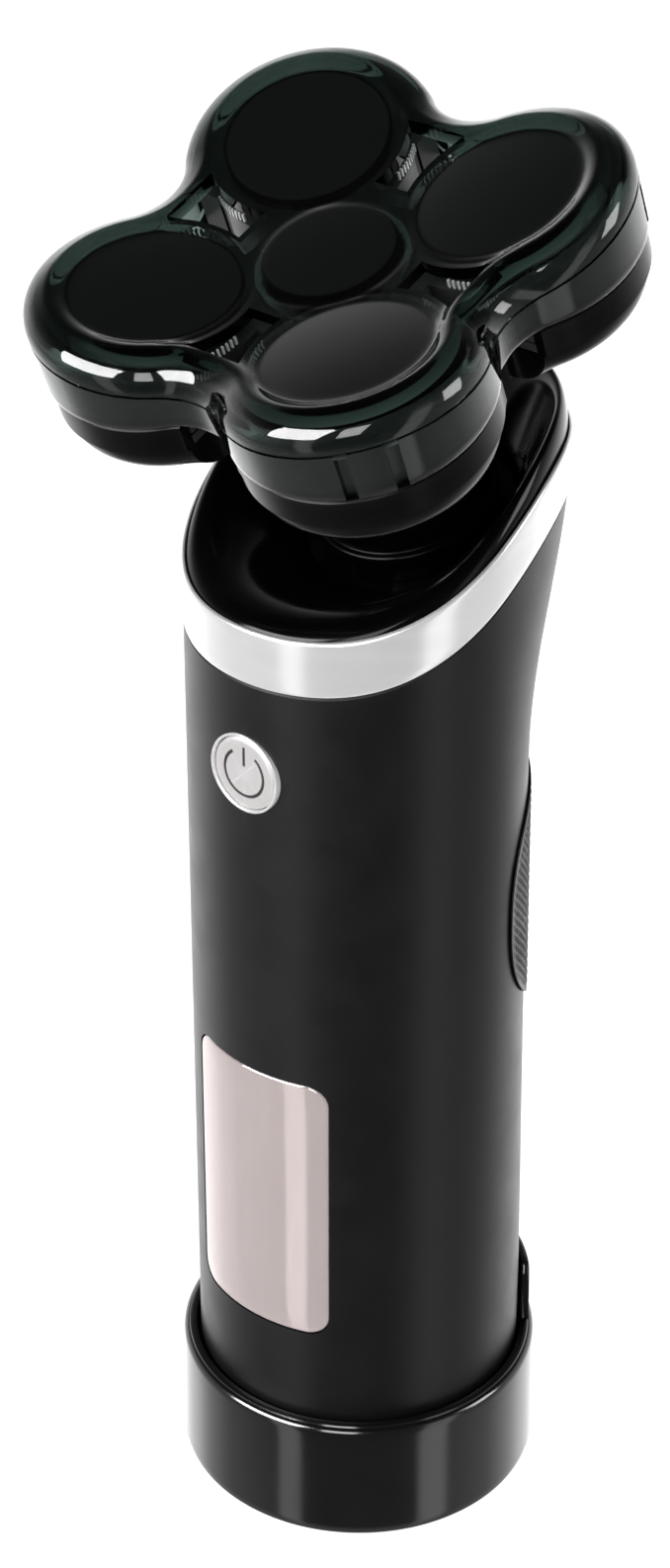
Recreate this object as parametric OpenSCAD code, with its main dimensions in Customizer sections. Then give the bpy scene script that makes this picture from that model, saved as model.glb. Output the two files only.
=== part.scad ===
// Rotary head shaver standing in its charging dock.
// Origin: centre of the dock's underside. +Z is up, the button and display face -Y.

/* [Dock] */
// Height of the dock's outer wall
dock_h = 19.1; // [18:0.1:22]
// Outer radius of the dock at the table
dock_r = 25.3; // [25:0.1:27]
// Height that the shaver's underside stands above the table
seat_z = 8.4; // [8.2:0.1:9]
// Height of the top of the dock's raised back wall
back_wall_z = 28; // [24:0.5:34]
// Half angle that the raised back wall covers
back_wall_angle = 52; // [30:1:70]

/* [Handle] */
// Radius of the handle at its sides and front
body_r = 22.6; // [22:0.1:22.8]
// Wall thickness of the handle shell
shell_wall = 1.8; // [1.6:0.1:2.2]
// Height of the chrome band
band_h = 7.6; // [7:0.1:9]
// Height of the band's lower edge at the front
band_z = 132.2; // [130:0.1:134]
// How much higher the band sits at the back than at the front
band_rise = 16.2; // [15:0.1:18]
// Height of the power button's centre
button_z = 119.3; // [116:0.1:121]
// Radius of the moving button
button_r = 5.2; // [4.5:0.1:5.3]
// How far the button travels
button_travel = 0.8; // [0.4:0.1:1]

/* [Display] */
// Width of the display window across its front
window_w = 22.4; // [18:0.1:24]
// Height of the display window
window_h = 41.2; // [36:0.1:44]
// Height of the display window's centre
window_z = 54.1; // [52:0.1:56]
// Corner radius of the display window
window_corner = 3; // [2:0.1:4]

/* [Grip] */
// Height of the grip pad's centre
grip_z = 93.8; // [90:0.1:96]
// Half height of the grip pad
grip_half_h = 19.7; // [16:0.1:21]
// Half angle that the grip pad covers round the back
grip_angle = 80; // [60:1:84]

/* [Head] */
// Forward tilt of the head
head_tilt = 21.6; // [20:0.1:23]
// Distance from the float pivot up to the cap's centre
cap_rise = 26; // [26:0.1:27]
// Distance from the head's axis to each outer cutter
lobe_pitch = 21; // [21:0.1:21.2]
// Radius of each lobe of the cap
lobe_r = 16.3; // [16.2:0.1:16.8]
// Radius of the concave blend between two lobes
waist_r = 9; // [7:0.1:10]
// Radius of the sphere that the cap's hollow top follows
dish_r = 125; // [122:1:130]
// Radius of the cutter's foil
foil_r = 9.6; // [9.4:0.1:9.7]
// Slots in each foil
foil_slots = 24; // [16:1:30]
// Blades on each cutter
blade_count = 9; // [6:1:12]

/* [Gears] */
// Gear module
gear_module = 0.8; // [0.8:0.1:0.8]
// Teeth on the sun gear
sun_teeth = 27; // [27:1:27]
// Teeth on each outer gear
outer_teeth = 28; // [28:1:28]

/* [Hidden] */

$fn = 64;
eps = 0.05;          // overshoot of a cut past the face it opens
still_gap = 0.1;     // gap between neighbours that never move apart

black = "#17181a";
smoke = "#22302d";
chrome = "#dcdde0";
steel = "#b4b8bc";
rubber = "#202224";
board_green = "#1d5a3c";
gold = "#c9a24a";

// Dock levels
pad_h = 1;
plate_z = pad_h + still_gap;
plate_h = 1.3;
dock_skirt_z = 0.5;
dock_floor_top = 8;
dock_floor_h = 1.6;
dock_floor_z = dock_floor_top - dock_floor_h;
dock_top_r = dock_r - 0.3;
cradle_r = body_r + 0.5;
base_cavity_r = dock_r - 1.6;
boss_ring_r = 19.4;
contact_x = 4.2;
inlet_size = [9, 6.6, 3.2];
inlet_z = 2.8;

// Handle levels
cap_plate_h = 1.6;
shell_z = seat_z + cap_plate_h + still_gap;
inner_r = body_r - shell_wall;
columns = 48;
axis_y = 3.5;                      // the motor, battery and float pivot share this axis
pivot_z = 158.8;
motor_r = 10;
motor_z = 102;
motor_h = 30;
shaft_r = 1.5;
battery_r = 9.1;
battery_z = 19;
battery_h = 65;
board_y = -15.2;                   // front face of the control board
board_t = 1.2;
switch_reach = 1.9;                // how far the switch's plunger stands off the board
stem_gap = 0.4;                    // from the pressed button's stem to that plunger

// Distance from the axis to the handle's back at each height
back_line = [
    [8, 22.6], [30, 22.6], [60, 21.6], [85, 20.7], [112, 20.0], [120, 20.4],
    [128, 22.6], [136, 26.0], [144, 29.0], [151, 30.3], [170, 30.6]
];

// Head levels, measured along the head's axis from the cap's centre
cap_wall = 1.5;
cap_top_t = 1.6;
skirt_low = -6;
frame_side_gap = 0.5;
frame_r = lobe_r - cap_wall - frame_side_gap;
frame_low = -8.7;
frame_top_drop = 3.4;
plate_top = -9;
plate_low = -10.2;
gear_top = -11.2;
gear_low = -13.2;
pocket_low = -14.2;
housing_low = -16;
housing_top = -6.4;
housing_r = lobe_r - 0.5;
housing_wall = 1.2;
boss_r = 12.6;                     // round wall about each cutter, which bounds the windows
window_in = 12.2;
window_out = 21.8;
waist_gap = 8;                     // width of the opening between two bowls
gear_pitch = gear_module * (sun_teeth + outer_teeth) / 2;

// Cutter levels, measured along each cutter's own axis from the cap's top surface
foil_top = -2.4;
foil_t = 0.6;
foil_low = -7.4;
flange_r = foil_r + 0.6;
flange_h = 0.8;
foil_bore_r = foil_r + 0.3;
flange_bore_r = flange_r + 0.3;
drive_ball_r = 1.2;
drive_ball_depth = 5.95;
socket_r = 1.5;

// Float joint sizes
post_r = 11.2;
pin_r = 1.2;
pin_gap = 0.05;
ear_in = 9.2;
ear_out = 11;
ear_half_w = 3.4;
ear_reach = 3;
post_top = -5.5;
seat_drop = 17;                    // from the pivot down to the deck's flat seat
neck_r = 12;
neck_top = -13;                    // top of the neck's wide foot

// ---- Curves and sections ----

// Segment of a [x, y] list that holds x
function segment(list, x, i = 0) =
    (i >= len(list) - 2 || x < list[i + 1][0]) ? i : segment(list, x, i + 1);

// Slope of a [x, y] list at one of its points
function slope(list, i) =
    (i == 0 || i == len(list) - 1) ? 0
    : (list[i + 1][1] - list[i - 1][1]) / (list[i + 1][0] - list[i - 1][0]);

// Smooth curve through a [x, y] list
function curve(list, x) =
    let (
        i = segment(list, x),
        span = list[i + 1][0] - list[i][0],
        t = max(0, min(1, (x - list[i][0]) / span)),
        s = t * t * (3 - 2 * t)
    )
    list[i][1] * (1 - s) + list[i + 1][1] * s
    + span * t * (1 - t) * ((1 - t) * slope(list, i) - t * slope(list, i + 1));

// Smooth step from 0 to 1
function ease(t) = let (u = max(0, min(1, t))) u * u * (3 - 2 * u);

// Point on the handle's skin; angle 90 is the back and 270 the front
function skin(angle, z, inset = 0) = [
    (body_r - inset) * cos(angle),
    ((sin(angle) > 0 ? curve(back_line, z) : body_r) - inset) * sin(angle),
    z
];

// Height of the band's lower edge at a distance y from the front to the back
band_y0 = -24;
band_y1 = 18;
function band_height(y) = band_z + band_rise * ease((y - band_y0) / (band_y1 - band_y0));

// Height at which the handle's skin meets the band's edge, raised by lift
function edge_z(angle, lift = 0, inset = 0, tries = 6) =
    tries == 0 ? band_z
    : band_height(skin(angle, edge_z(angle, lift, inset, tries - 1), inset)[1]) + lift;

function column_angle(j) = 360 * j / columns;

// Triangles of a closed tube of point rings: ring i runs round the section, and the last
// ring joins the first
function tube_faces(rings) = [
    for (i = [0 : rings - 1], j = [0 : columns - 1])
        let (
            a = i * columns + j,
            b = i * columns + (j + 1) % columns,
            c = ((i + 1) % rings) * columns + j,
            d = ((i + 1) % rings) * columns + (j + 1) % columns
        )
        each [[a, c, d], [a, d, b]]
];

// Tube wall that follows the handle's skin between two edges, given as heights per column
module sleeve(low, high, out_inset, in_inset, steps) {
    outer = [
        for (i = [0 : steps], j = [0 : columns - 1])
            skin(column_angle(j), low[j] + (high[j] - low[j]) * i / steps, out_inset)
    ];
    inner = [
        for (i = [steps : -1 : 0], j = [0 : columns - 1])
            skin(column_angle(j), low[j] + (high[j] - low[j]) * i / steps, in_inset)
    ];
    polyhedron(concat(outer, inner), tube_faces(2 * (steps + 1)));
}

// Rounded rectangle facing the front, extruded from y0 to y1
module front_slab(w, h, corner, y0, y1) {
    translate([0, y1, 0])
        rotate([90, 0, 0])
            linear_extrude(y1 - y0) {
                square([w - 2 * corner, h], center = true);
                square([w, h - 2 * corner], center = true);
                for (x = [-1, 1], y = [-1, 1])
                    translate([x * (w / 2 - corner), y * (h / 2 - corner)])
                        circle(corner);
            }
}

// Cylinder along Y from y0 to y1 at the button's height
module button_disc(r, y0, y1) {
    translate([0, y0, button_z])
        rotate([-90, 0, 0])
            cylinder(r = r, h = y1 - y0);
}

module ring(outer, inner, h) {
    difference() {
        cylinder(r = outer, h = h);
        translate([0, 0, -eps])
            cylinder(r = inner, h = h + 2 * eps);
    }
}

// Countersunk machine screw with its head down, from z = 0
module screw(head_r, head_h, shank_r, length) {
    difference() {
        cylinder(r = head_r, h = head_h);
        translate([0, 0, -eps])
            cylinder(r = head_r * 0.45, h = head_h * 0.6, $fn = 6);
    }
    translate([0, 0, head_h])
        cylinder(r = shank_r, h = length - head_h);
}

module at_dock_bosses() {
    for (a = [45 : 90 : 315])
        rotate(a)
            translate([boss_ring_r, 0, 0])
                children();
}

// ---- Head space: its origin is the cap's centre, its Z the head's axis ----

module pivot_space() {
    translate([0, axis_y, pivot_z])
        rotate([head_tilt, 0, 0])
            children();
}

module head_space() {
    pivot_space()
        translate([0, 0, cap_rise])
            children();
}

// Cutter 0 is the centre one; 1 to 4 sit on the diagonals
function lobe_angle(i) = 45 + 90 * (i - 1);
lobe_lean = asin(lobe_pitch / dish_r);

module local_cutter(i) {
    if (i == 0)
        children();
    else
        translate([0, 0, dish_r])
            rotate([0, 0, lobe_angle(i)])
                rotate([0, -lobe_lean, 0])
                    translate([0, 0, -dish_r])
                        children();
}

module cutter_space(i) {
    head_space()
        local_cutter(i)
            children();
}

// Four-lobed outline with concave waists, grown or shrunk by its lobe radius
module lobed_outline(r) {
    half = lobe_pitch / sqrt(2);
    blend = waist_r + lobe_r - r;
    waist = half + sqrt(pow(r + blend, 2) - half * half);
    for (i = [1 : 4])
        rotate(lobe_angle(i))
            translate([lobe_pitch, 0])
                circle(r);
    difference() {
        polygon([
            for (i = [0 : 3])
                each [
                    waist * [cos(90 * i), sin(90 * i)],
                    half * [cos(90 * i) - sin(90 * i), sin(90 * i) + cos(90 * i)]
                ]
        ]);
        for (i = [0 : 3])
            rotate(90 * i)
                translate([waist, 0])
                    circle(blend);
    }
}

// The four through windows between the cutters, as prisms along the head's axis
module head_windows(grow = 0) {
    translate([0, 0, housing_low - 1])
        linear_extrude(30)
            for (i = [0 : 3])
                rotate(90 * i)
                    difference() {
                        translate([window_in - grow, -lobe_pitch / 2])
                            square([window_out - window_in + 2 * grow, lobe_pitch]);
                        for (s = [-1, 1])
                            rotate(45 * s)
                                translate([lobe_pitch, 0])
                                    circle(boss_r - grow);
                    }
}

// Openings from each window outwards through the waist
module waist_openings() {
    for (i = [0 : 3])
        rotate(90 * i)
            translate([window_out - 1.5, -waist_gap / 2, housing_low - 1])
                cube([20, waist_gap, 30]);
}

// Gear whose tooth 0 points along X, standing on z = 0
module gear(teeth, h) {
    pitch_r = gear_module * teeth / 2;
    root_r = pitch_r - 1.2 * gear_module;
    tip_r = pitch_r + 0.85 * gear_module;
    root_half = 0.86;
    tip_half = 0.3;
    linear_extrude(h) {
        circle(root_r);
        for (i = [0 : teeth - 1])
            rotate(360 * i / teeth)
                polygon([
                    [root_r - 0.3, -root_half], [tip_r, -tip_half],
                    [tip_r, tip_half], [root_r - 0.3, root_half]
                ]);
    }
}

// ---- Dock ----

module dock_pad() {
    color(rubber)
        cylinder(r = base_cavity_r - 0.2, h = pad_h);
}

module dock_shell() {
    color(black) {
        difference() {
            union() {
                translate([0, 0, dock_skirt_z])
                    cylinder(r1 = dock_r, r2 = dock_top_r, h = dock_h - dock_skirt_z, $fn = 96);
                intersection() {
                    translate([0, 0, dock_h - 1])
                        cylinder(r = cradle_r + 1.3, h = back_wall_z - dock_h + 1, $fn = 96);
                    rotate(90 - back_wall_angle)
                        rotate_extrude(angle = 2 * back_wall_angle)
                            square([dock_r + 1, back_wall_z]);
                }
            }
            translate([0, 0, dock_floor_top])
                cylinder(r = cradle_r, h = back_wall_z, $fn = 96);
            translate([0, 0, -eps])
                cylinder(r = base_cavity_r, h = dock_floor_z + eps, $fn = 96);
            for (x = [-1, 1])
                translate([x * contact_x, 0, dock_floor_z - eps])
                    cylinder(r = 1.3, h = dock_floor_h + 2 * eps);
            translate([-inlet_size[0] / 2 - 0.2, 20, inlet_z - 0.2])
                cube([inlet_size[0] + 0.4, 10, inlet_size[2] + 0.4]);
        }
        at_dock_bosses()
            translate([0, 0, plate_z + plate_h + still_gap])
                ring(2.1, 0.9, dock_floor_z - plate_z - plate_h);
    }
}

module dock_bottom_plate() {
    color(black)
        difference() {
            translate([0, 0, plate_z])
                cylinder(r = base_cavity_r - 0.2, h = plate_h);
            at_dock_bosses() {
                translate([0, 0, plate_z - eps])
                    cylinder(r = 1.95, h = 0.9 + eps);
                cylinder(r = 1, h = 5);
            }
        }
}

module dock_board() {
    color(board_green)
        difference() {
            union() {
                translate([0, 0, inlet_z])
                    cylinder(r = 16.4, h = 1);
                translate([-6, 6, inlet_z + 1])
                    cube([5, 4, 1.2]);
                translate([2, -9, inlet_z + 1])
                    cube([7, 5, 1.6]);
            }
            translate([-inlet_size[0] / 2 - 0.2, 14.8, inlet_z - 1])
                cube([inlet_size[0] + 0.4, 4, 6]);
        }
}

module dock_inlet() {
    y0 = 15.1;
    depth = 24.4 - y0;
    color(steel)
        difference() {
            translate([-inlet_size[0] / 2, y0, inlet_z])
                cube([inlet_size[0], depth, inlet_size[2]]);
            difference() {
                translate([-inlet_size[0] / 2 + 0.35, y0 + 1.5, inlet_z + 0.35])
                    cube([inlet_size[0] - 0.7, depth, inlet_size[2] - 0.7]);
                translate([-3.3, y0, inlet_z + inlet_size[2] / 2 - 0.35])
                    cube([6.6, 6.5, 0.7]);
            }
        }
}

module dock_contacts() {
    color(gold)
        for (x = [-1, 1])
            translate([x * contact_x, 0, inlet_z + 1 + eps]) {
                cylinder(r = 1.15, h = 3.4);
                cylinder(r = 0.7, h = 5.6);
            }
}

module dock_screws() {
    color(steel)
        at_dock_bosses()
            translate([0, 0, plate_z])
                screw(1.8, 0.85, 0.85, 4.6);
}

// ---- Handle ----

module handle_shell() {
    low = [for (j = [0 : columns - 1]) shell_z];
    high = [for (j = [0 : columns - 1]) edge_z(column_angle(j), -still_gap)];
    color(black)
        difference() {
            sleeve(low, high, 0, shell_wall, 20);
            difference() {
                translate([0, 0, window_z])
                    front_slab(window_w, window_h, window_corner, -body_r - 1, -10);
                translate([0, 0, window_z - window_h])
                    cylinder(r = body_r - 1.3, h = 2 * window_h, $fn = 96);
            }
            translate([0, 0, window_z])
                front_slab(window_w - 4, window_h - 4, window_corner, -body_r - 1, -10);
            button_disc(6.05, -body_r - 1, -14);
        }
}

module display_window() {
    color("#c9bcc0")
        intersection() {
            translate([0, 0, window_z - window_h])
                difference() {
                    cylinder(r = body_r, h = 2 * window_h, $fn = 96);
                    cylinder(r = body_r - 1.2, h = 2 * window_h, $fn = 96);
                }
            translate([0, 0, window_z])
                front_slab(window_w - 0.1, window_h - 0.1, window_corner, -body_r - 1, -10);
        }
}

module handle_bottom_cap() {
    color(black)
        difference() {
            union() {
                translate([0, 0, seat_z])
                    cylinder(r1 = body_r - 0.6, r2 = body_r, h = 0.6, $fn = 96);
                translate([0, 0, seat_z + 0.6])
                    cylinder(r = body_r, h = cap_plate_h - 0.6, $fn = 96);
                translate([0, 0, seat_z + cap_plate_h])
                    difference() {
                        cylinder(r = inner_r - 0.15, h = 4);
                        translate([0, 0, -eps])
                            cylinder(r = inner_r - 2.6, h = 4 + 2 * eps);
                        translate([0, 0, 1.6])
                            ring(inner_r + 1, inner_r - 1.1, 1.2);
                    }
                for (x = [-1, 1])
                    translate([x * 12, axis_y, seat_z + cap_plate_h])
                        cylinder(r = 2.2, h = 4);
            }
            for (x = [-1, 1]) {
                translate([x * contact_x, 0, seat_z - eps])
                    cylinder(r = 1.9, h = cap_plate_h + 2 * eps);
                translate([x * 12, axis_y, seat_z - eps]) {
                    cylinder(r = 1, h = 6);
                    cylinder(r = 2, h = 1);
                }
            }
        }
}

module bottom_seal() {
    color("#8a3b2a")
        translate([0, 0, seat_z + cap_plate_h + 2.2])
            rotate_extrude()
                translate([inner_r - 0.58, 0])
                    circle(0.45, $fn = 24);
}

module bottom_screws() {
    color(steel)
        for (x = [-1, 1])
            translate([x * 12, axis_y, seat_z + 0.05])
                screw(1.85, 0.85, 0.85, 8);
}

module handle_contacts() {
    color(gold)
        for (x = [-1, 1])
            translate([x * contact_x, 0, seat_z + 1.25]) {
                cylinder(r = 1.8, h = 0.8);
                cylinder(r = 0.6, h = 4);
            }
}

// Chassis that carries the battery, the boards and the motor
module inner_frame() {
    color("#3a3d40")
        difference() {
            union() {
                translate([-12, board_y + board_t + still_gap, 15])
                    cube([24, 1.6, 92]);
                for (z = [15, 85.2])
                    translate([0, 0, z])
                        intersection() {
                            translate([0, axis_y, 0])
                                cylinder(r = 13, h = 3.4);
                            translate([-14, board_y + board_t + still_gap + eps, 0])
                                cube([28, 26, 3.4]);
                        }
                for (z = [15, 85.2])
                    translate([-9, board_y + board_t + still_gap, z])
                        cube([18, 12, 3.4]);
                translate([0, axis_y, motor_z - 2.4])
                    cylinder(r = motor_r + 2, h = 2.3);
                translate([-9, board_y + board_t + still_gap, motor_z - 2.4])
                    cube([18, 12, 2.3]);
            }
            for (x = [-1, 1])
                translate([x * 12, axis_y, 14])
                    cylinder(r = 0.9, h = 4);
            translate([0, axis_y, motor_z - 4])
                cylinder(r = 4, h = 6);
        }
}

module battery() {
    color("#2f6f8f")
        translate([0, axis_y, battery_z]) {
            cylinder(r = battery_r, h = battery_h - 0.9);
            translate([0, 0, battery_h - 0.9])
                cylinder(r = 3, h = 0.9);
        }
}

module control_board() {
    color(board_green) {
        translate([-11.8, board_y, 22])
            cube([23.6, board_t, 104]);
        translate([-5, board_y - 1.2, 84])
            cube([9, 1.25, 9]);
        for (z = [98, 103])
            translate([3, board_y - 1, z])
                cube([4, 1.05, 2.5]);
    }
}

module display_module() {
    color("#0e0f12")
        translate([0, 0, window_z])
            front_slab(16, 32, 1, board_y - 2.5, board_y - eps);
}

module button_switch() {
    color(steel) {
        translate([-3, board_y - 1.6, button_z - 3])
            cube([6, 1.6 - eps, 6]);
        button_disc(1.6, board_y - switch_reach, board_y - 1.6);
    }
}

module button_bezel() {
    color(chrome)
        difference() {
            button_disc(5.95, -22.8, -21.2);
            button_disc(button_r + 0.2, -24, -20);
        }
}

module power_button() {
    color(chrome)
        difference() {
            union() {
                button_disc(button_r, -22.65, -20.6);
                button_disc(5.7, -20.8, -20);
                button_disc(1.6, -20, board_y - switch_reach - stem_gap - button_travel);
            }
            translate([0, -22.65, button_z])
                rotate([90, 0, 0])
                    translate([0, 0, -0.2]) {
                        rotate(125)
                            rotate_extrude(angle = 290)
                                translate([2.9, 0])
                                    square([0.6, 1]);
                        translate([-0.3, 1, 0])
                            cube([0.6, 2.8, 1]);
                    }
        }
}

// Sheet of the grip pad: a centre point and rings out to the oval edge, at one height
// above the handle's skin
grip_rings = 10;
grip_power = 2.6;
function oval(c) = sign(c) * pow(abs(c), 2 / grip_power);
function grip_sheet(height) = concat(
    [skin(90, grip_z, -height)],
    [
        for (k = [1 : grip_rings], j = [0 : columns - 1])
            let (a = column_angle(j), s = k / grip_rings)
            skin(90 - grip_angle * s * oval(cos(a)), grip_z + grip_half_h * s * oval(sin(a)),
                 -height)
    ]
);

module grip_pad() {
    under = 0.22;
    over = 0.5;
    count = 1 + grip_rings * columns;
    sheet = [
        for (j = [0 : columns - 1])
            [0, 1 + (j + 1) % columns, 1 + j]
    ];
    bands = [
        for (k = [0 : grip_rings - 2], j = [0 : columns - 1])
            let (
                a = 1 + k * columns + j,
                b = 1 + k * columns + (j + 1) % columns
            )
            each [[a, b, b + columns], [a, b + columns, a + columns]]
    ];
    top = concat(sheet, bands);
    rim0 = 1 + (grip_rings - 1) * columns;
    rim = [
        for (j = [0 : columns - 1])
            let (a = rim0 + j, b = rim0 + (j + 1) % columns)
            each [[a, b, b + count], [a, b + count, a + count]]
    ];
    color(rubber)
        polyhedron(
            concat(grip_sheet(over), grip_sheet(under)),
            concat(top, rim, [for (f = top) [f[2] + count, f[1] + count, f[0] + count]])
        );
}

module collar_ring() {
    low = [for (j = [0 : columns - 1]) edge_z(column_angle(j))];
    high = [for (j = [0 : columns - 1]) edge_z(column_angle(j), band_h)];
    color(chrome)
        sleeve(low, high, -0.15, 1.9, 4);
}

// Black top of the handle: it rises inside the band, then dips to the neck's flat seat
deck_inset = 2.1;
deck_t = 2.2;
seat_r = 13.6;
seat_hole_r = 10;
deck_steps = 7;
deck_crest = 0.6;                  // below 1 the bulge is steepest at the band

function seat_point(angle, r) = [
    r * cos(angle),
    axis_y + seat_drop * sin(head_tilt) + r * sin(angle) * cos(head_tilt),
    pivot_z - seat_drop * cos(head_tilt) + r * sin(angle) * sin(head_tilt)
];

function deck_bulge(angle) = 5 + 2.6 * sin(angle);

function deck_top(angle, i) =
    i > deck_steps ? seat_point(angle, seat_hole_r)
    : let (
        rim = skin(angle, edge_z(angle, band_h - 0.8, deck_inset), deck_inset),
        seat = seat_point(angle, seat_r),
        s = i / deck_steps
    )
    rim * (1 - s) + seat * s + [0, 0, deck_bulge(angle) * sin(180 * pow(s, deck_crest))];

module deck_plate() {
    top = [
        for (i = [0 : deck_steps + 1], j = [0 : columns - 1])
            deck_top(column_angle(j), i)
    ];
    under = [
        for (i = [deck_steps + 1 : -1 : 0], j = [0 : columns - 1])
            deck_top(column_angle(j), i) - [0, 0, deck_t]
    ];
    polyhedron(concat(top, under), tube_faces(2 * (deck_steps + 2)));
}

module top_deck() {
    color(black)
        deck_plate();
}

// Neck on the deck with two ears that hold the gimbal ring's pitch pins. Its bore is wide
// at the foot, where the upright motor shaft crosses the leaning neck.
module neck_post() {
    low = -seat_drop + still_gap;
    foot_bore_top = neck_top + 1;
    color(black)
        pivot_space()
            difference() {
                union() {
                    translate([0, 0, low])
                        cylinder(r = neck_r, h = neck_top - low);
                    translate([0, 0, low])
                        cylinder(r = post_r, h = post_top - low);
                    pivot_ears(post_top - 1, ear_reach);
                }
                translate([0, 0, low - eps])
                    cylinder(r = 9.2, h = foot_bore_top - low + eps);
                translate([0, 0, low - eps])
                    cylinder(r = 7.4, h = post_top - low + 2 * eps);
                pivot_bore();
            }
}

// Two ears on the X axis from one height to another
module pivot_ears(low, high) {
    intersection() {
        for (s = [-1, 1])
            translate([s * (ear_in + ear_out) / 2 - (ear_out - ear_in) / 2, -ear_half_w, low])
                cube([ear_out - ear_in, 2 * ear_half_w, high - low]);
        translate([0, 0, low])
            cylinder(r = post_r - 0.1, h = high - low);
    }
}

module pivot_bore() {
    rotate([0, 90, 0])
        translate([0, 0, -15])
            cylinder(r = pin_r + pin_gap, h = 30);
}

// Motor below the neck, on the handle's own axis
module motor_can() {
    color(steel)
        translate([0, axis_y, motor_z])
            difference() {
                union() {
                    cylinder(r = motor_r, h = motor_h);
                    translate([0, 0, motor_h])
                        cylinder(r = 3.2, h = 1.6);
                }
                translate([0, 0, 1.5])
                    cylinder(r = motor_r - 1, h = motor_h - 3);
                translate([0, 0, -1])
                    cylinder(r = shaft_r + 0.06, h = motor_h + 4);
            }
}

module motor_magnets() {
    color("#5b5e62")
        translate([0, axis_y, motor_z + 4])
            ring(motor_r - 1.05, motor_r - 1.9, motor_h - 8);
}

// Armature, shaft and the round drive end at the float pivot
module motor_rotor() {
    color(steel) {
        translate([0, axis_y, motor_z - 1])
            cylinder(r = shaft_r, h = pivot_z - motor_z + 1);
        translate([0, axis_y, motor_z + 5])
            cylinder(r = motor_r - 2.6, h = motor_h - 11);
        translate([0, axis_y, pivot_z])
            sphere(r = 2.2);
    }
}

// ---- Float joint ----

module gimbal_ring() {
    color(steel)
        pivot_space()
            difference() {
                translate([0, 0, -2])
                    ring(8.6, 5.9, 4);
                for (a = [0, 90])
                    rotate(a)
                        rotate([0, 90, 0])
                            translate([0, 0, -10])
                                cylinder(r = pin_r + 0.01, h = 20);
            }
}

module gimbal_pins() {
    color(steel)
        pivot_space()
            for (a = [0 : 90 : 270])
                rotate(a)
                    rotate([0, 90, 0])
                        translate([0, 0, 6.3])
                            cylinder(r = pin_r, h = 4.6);
}

// ---- Head base ----

module head_hub() {
    top = cap_rise + housing_low - still_gap;
    color(black)
        pivot_space()
            rotate(90)
                difference() {
                    union() {
                        translate([0, 0, -post_top])
                            cylinder(r = post_r, h = top + post_top);
                        pivot_ears(-ear_reach, -post_top + 1);
                    }
                    translate([0, 0, -post_top - eps])
                        cylinder(r = 4.6, h = top + 1);
                    pivot_bore();
                }
}

// Bowl-bottomed housing under the cutters, which holds the gears
module head_housing() {
    bowl_low = housing_low + 0.2;
    bowl_r = housing_r - 0.5;
    bowl_top = -10.5;
    band_low = -11;
    bowl = [
        [0, bowl_low], [10.5, bowl_low], [13.6, -14.9], [14.9, -13.2], [bowl_r, band_low],
        [bowl_r, bowl_top], [0, bowl_top]
    ];
    drum_r = 18;
    drum_low = -14.6;
    foot_r = post_r + 1.6;
    bearing_r = 1.58;
    color(black)
        head_space()
            difference() {
                union() {
                    for (i = [1 : 4])
                        rotate(lobe_angle(i))
                            translate([lobe_pitch, 0, 0])
                                rotate_extrude()
                                    polygon(bowl);
                    translate([0, 0, band_low])
                        linear_extrude(housing_top - band_low)
                            lobed_outline(housing_r);
                    translate([0, 0, drum_low])
                        cylinder(r = drum_r, h = bowl_top - drum_low);
                    translate([0, 0, housing_low])
                        cylinder(r = foot_r, h = 3);
                }
                translate([0, 0, plate_low - still_gap])
                    linear_extrude(10)
                        lobed_outline(housing_r - housing_wall);
                for (i = [1 : 4])
                    rotate(lobe_angle(i))
                        translate([gear_pitch, 0, 0]) {
                            translate([0, 0, pocket_low])
                                cylinder(r = 12.4, h = 10);
                            translate([0, 0, pocket_low - 1.2])
                                cylinder(r = bearing_r, h = 2);
                        }
                translate([0, 0, pocket_low])
                    cylinder(r = 11.85, h = 10);
                translate([0, 0, housing_low - 1])
                    cylinder(r = 3.08, h = 5);
                head_windows();
                waist_openings();
            }
}

module gear_plate() {
    color("#3a3d40")
        head_space()
            difference() {
                translate([0, 0, plate_low])
                    linear_extrude(plate_top - plate_low)
                        lobed_outline(housing_r - housing_wall - 0.15);
                head_windows(0.15);
                waist_openings();
                translate([0, 0, plate_low - 1])
                    cylinder(r = 1.06, h = 3);
                for (i = [1 : 4])
                    rotate(lobe_angle(i))
                        translate([gear_pitch, 0, plate_low - 1])
                            cylinder(r = 1.06, h = 3);
            }
}

// Flat springs that push the foils up
module float_springs() {
    color(steel)
        for (i = [0 : 4])
            cutter_space(i)
                translate([0, 0, -8.9])
                    ring(9.7, 8.4, 0.4);
}

// Spindle that rises from a gear to its round drive end
module drive_spindle(ball_z) {
    translate([0, 0, gear_top - eps])
        cylinder(r = 1, h = -8.5 - gear_top);
    translate([0, 0, -8.6])
        cylinder(r = 0.8, h = ball_z + 8.6);
    translate([0, 0, ball_z])
        sphere(r = drive_ball_r, $fn = 32);
}

module sun_gear() {
    socket_low = -cap_rise - 2;
    socket_top = -cap_rise + 4;
    color("#d8d5cc")
        head_space() {
            translate([0, 0, gear_low])
                gear(sun_teeth, gear_top - gear_low);
            translate([0, 0, socket_top - eps])
                cylinder(r = 3, h = gear_low - socket_top + 2 * eps);
            difference() {
                translate([0, 0, socket_low])
                    cylinder(r = 4.1, h = socket_top - socket_low);
                translate([0, 0, socket_low + 1.4])
                    cylinder(r = 2.5, h = 3.4);
                translate([0, 0, socket_low - eps])
                    cylinder(r1 = 3.5, r2 = 2.5, h = 1.5);
            }
            drive_spindle(-drive_ball_depth);
        }
}

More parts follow.
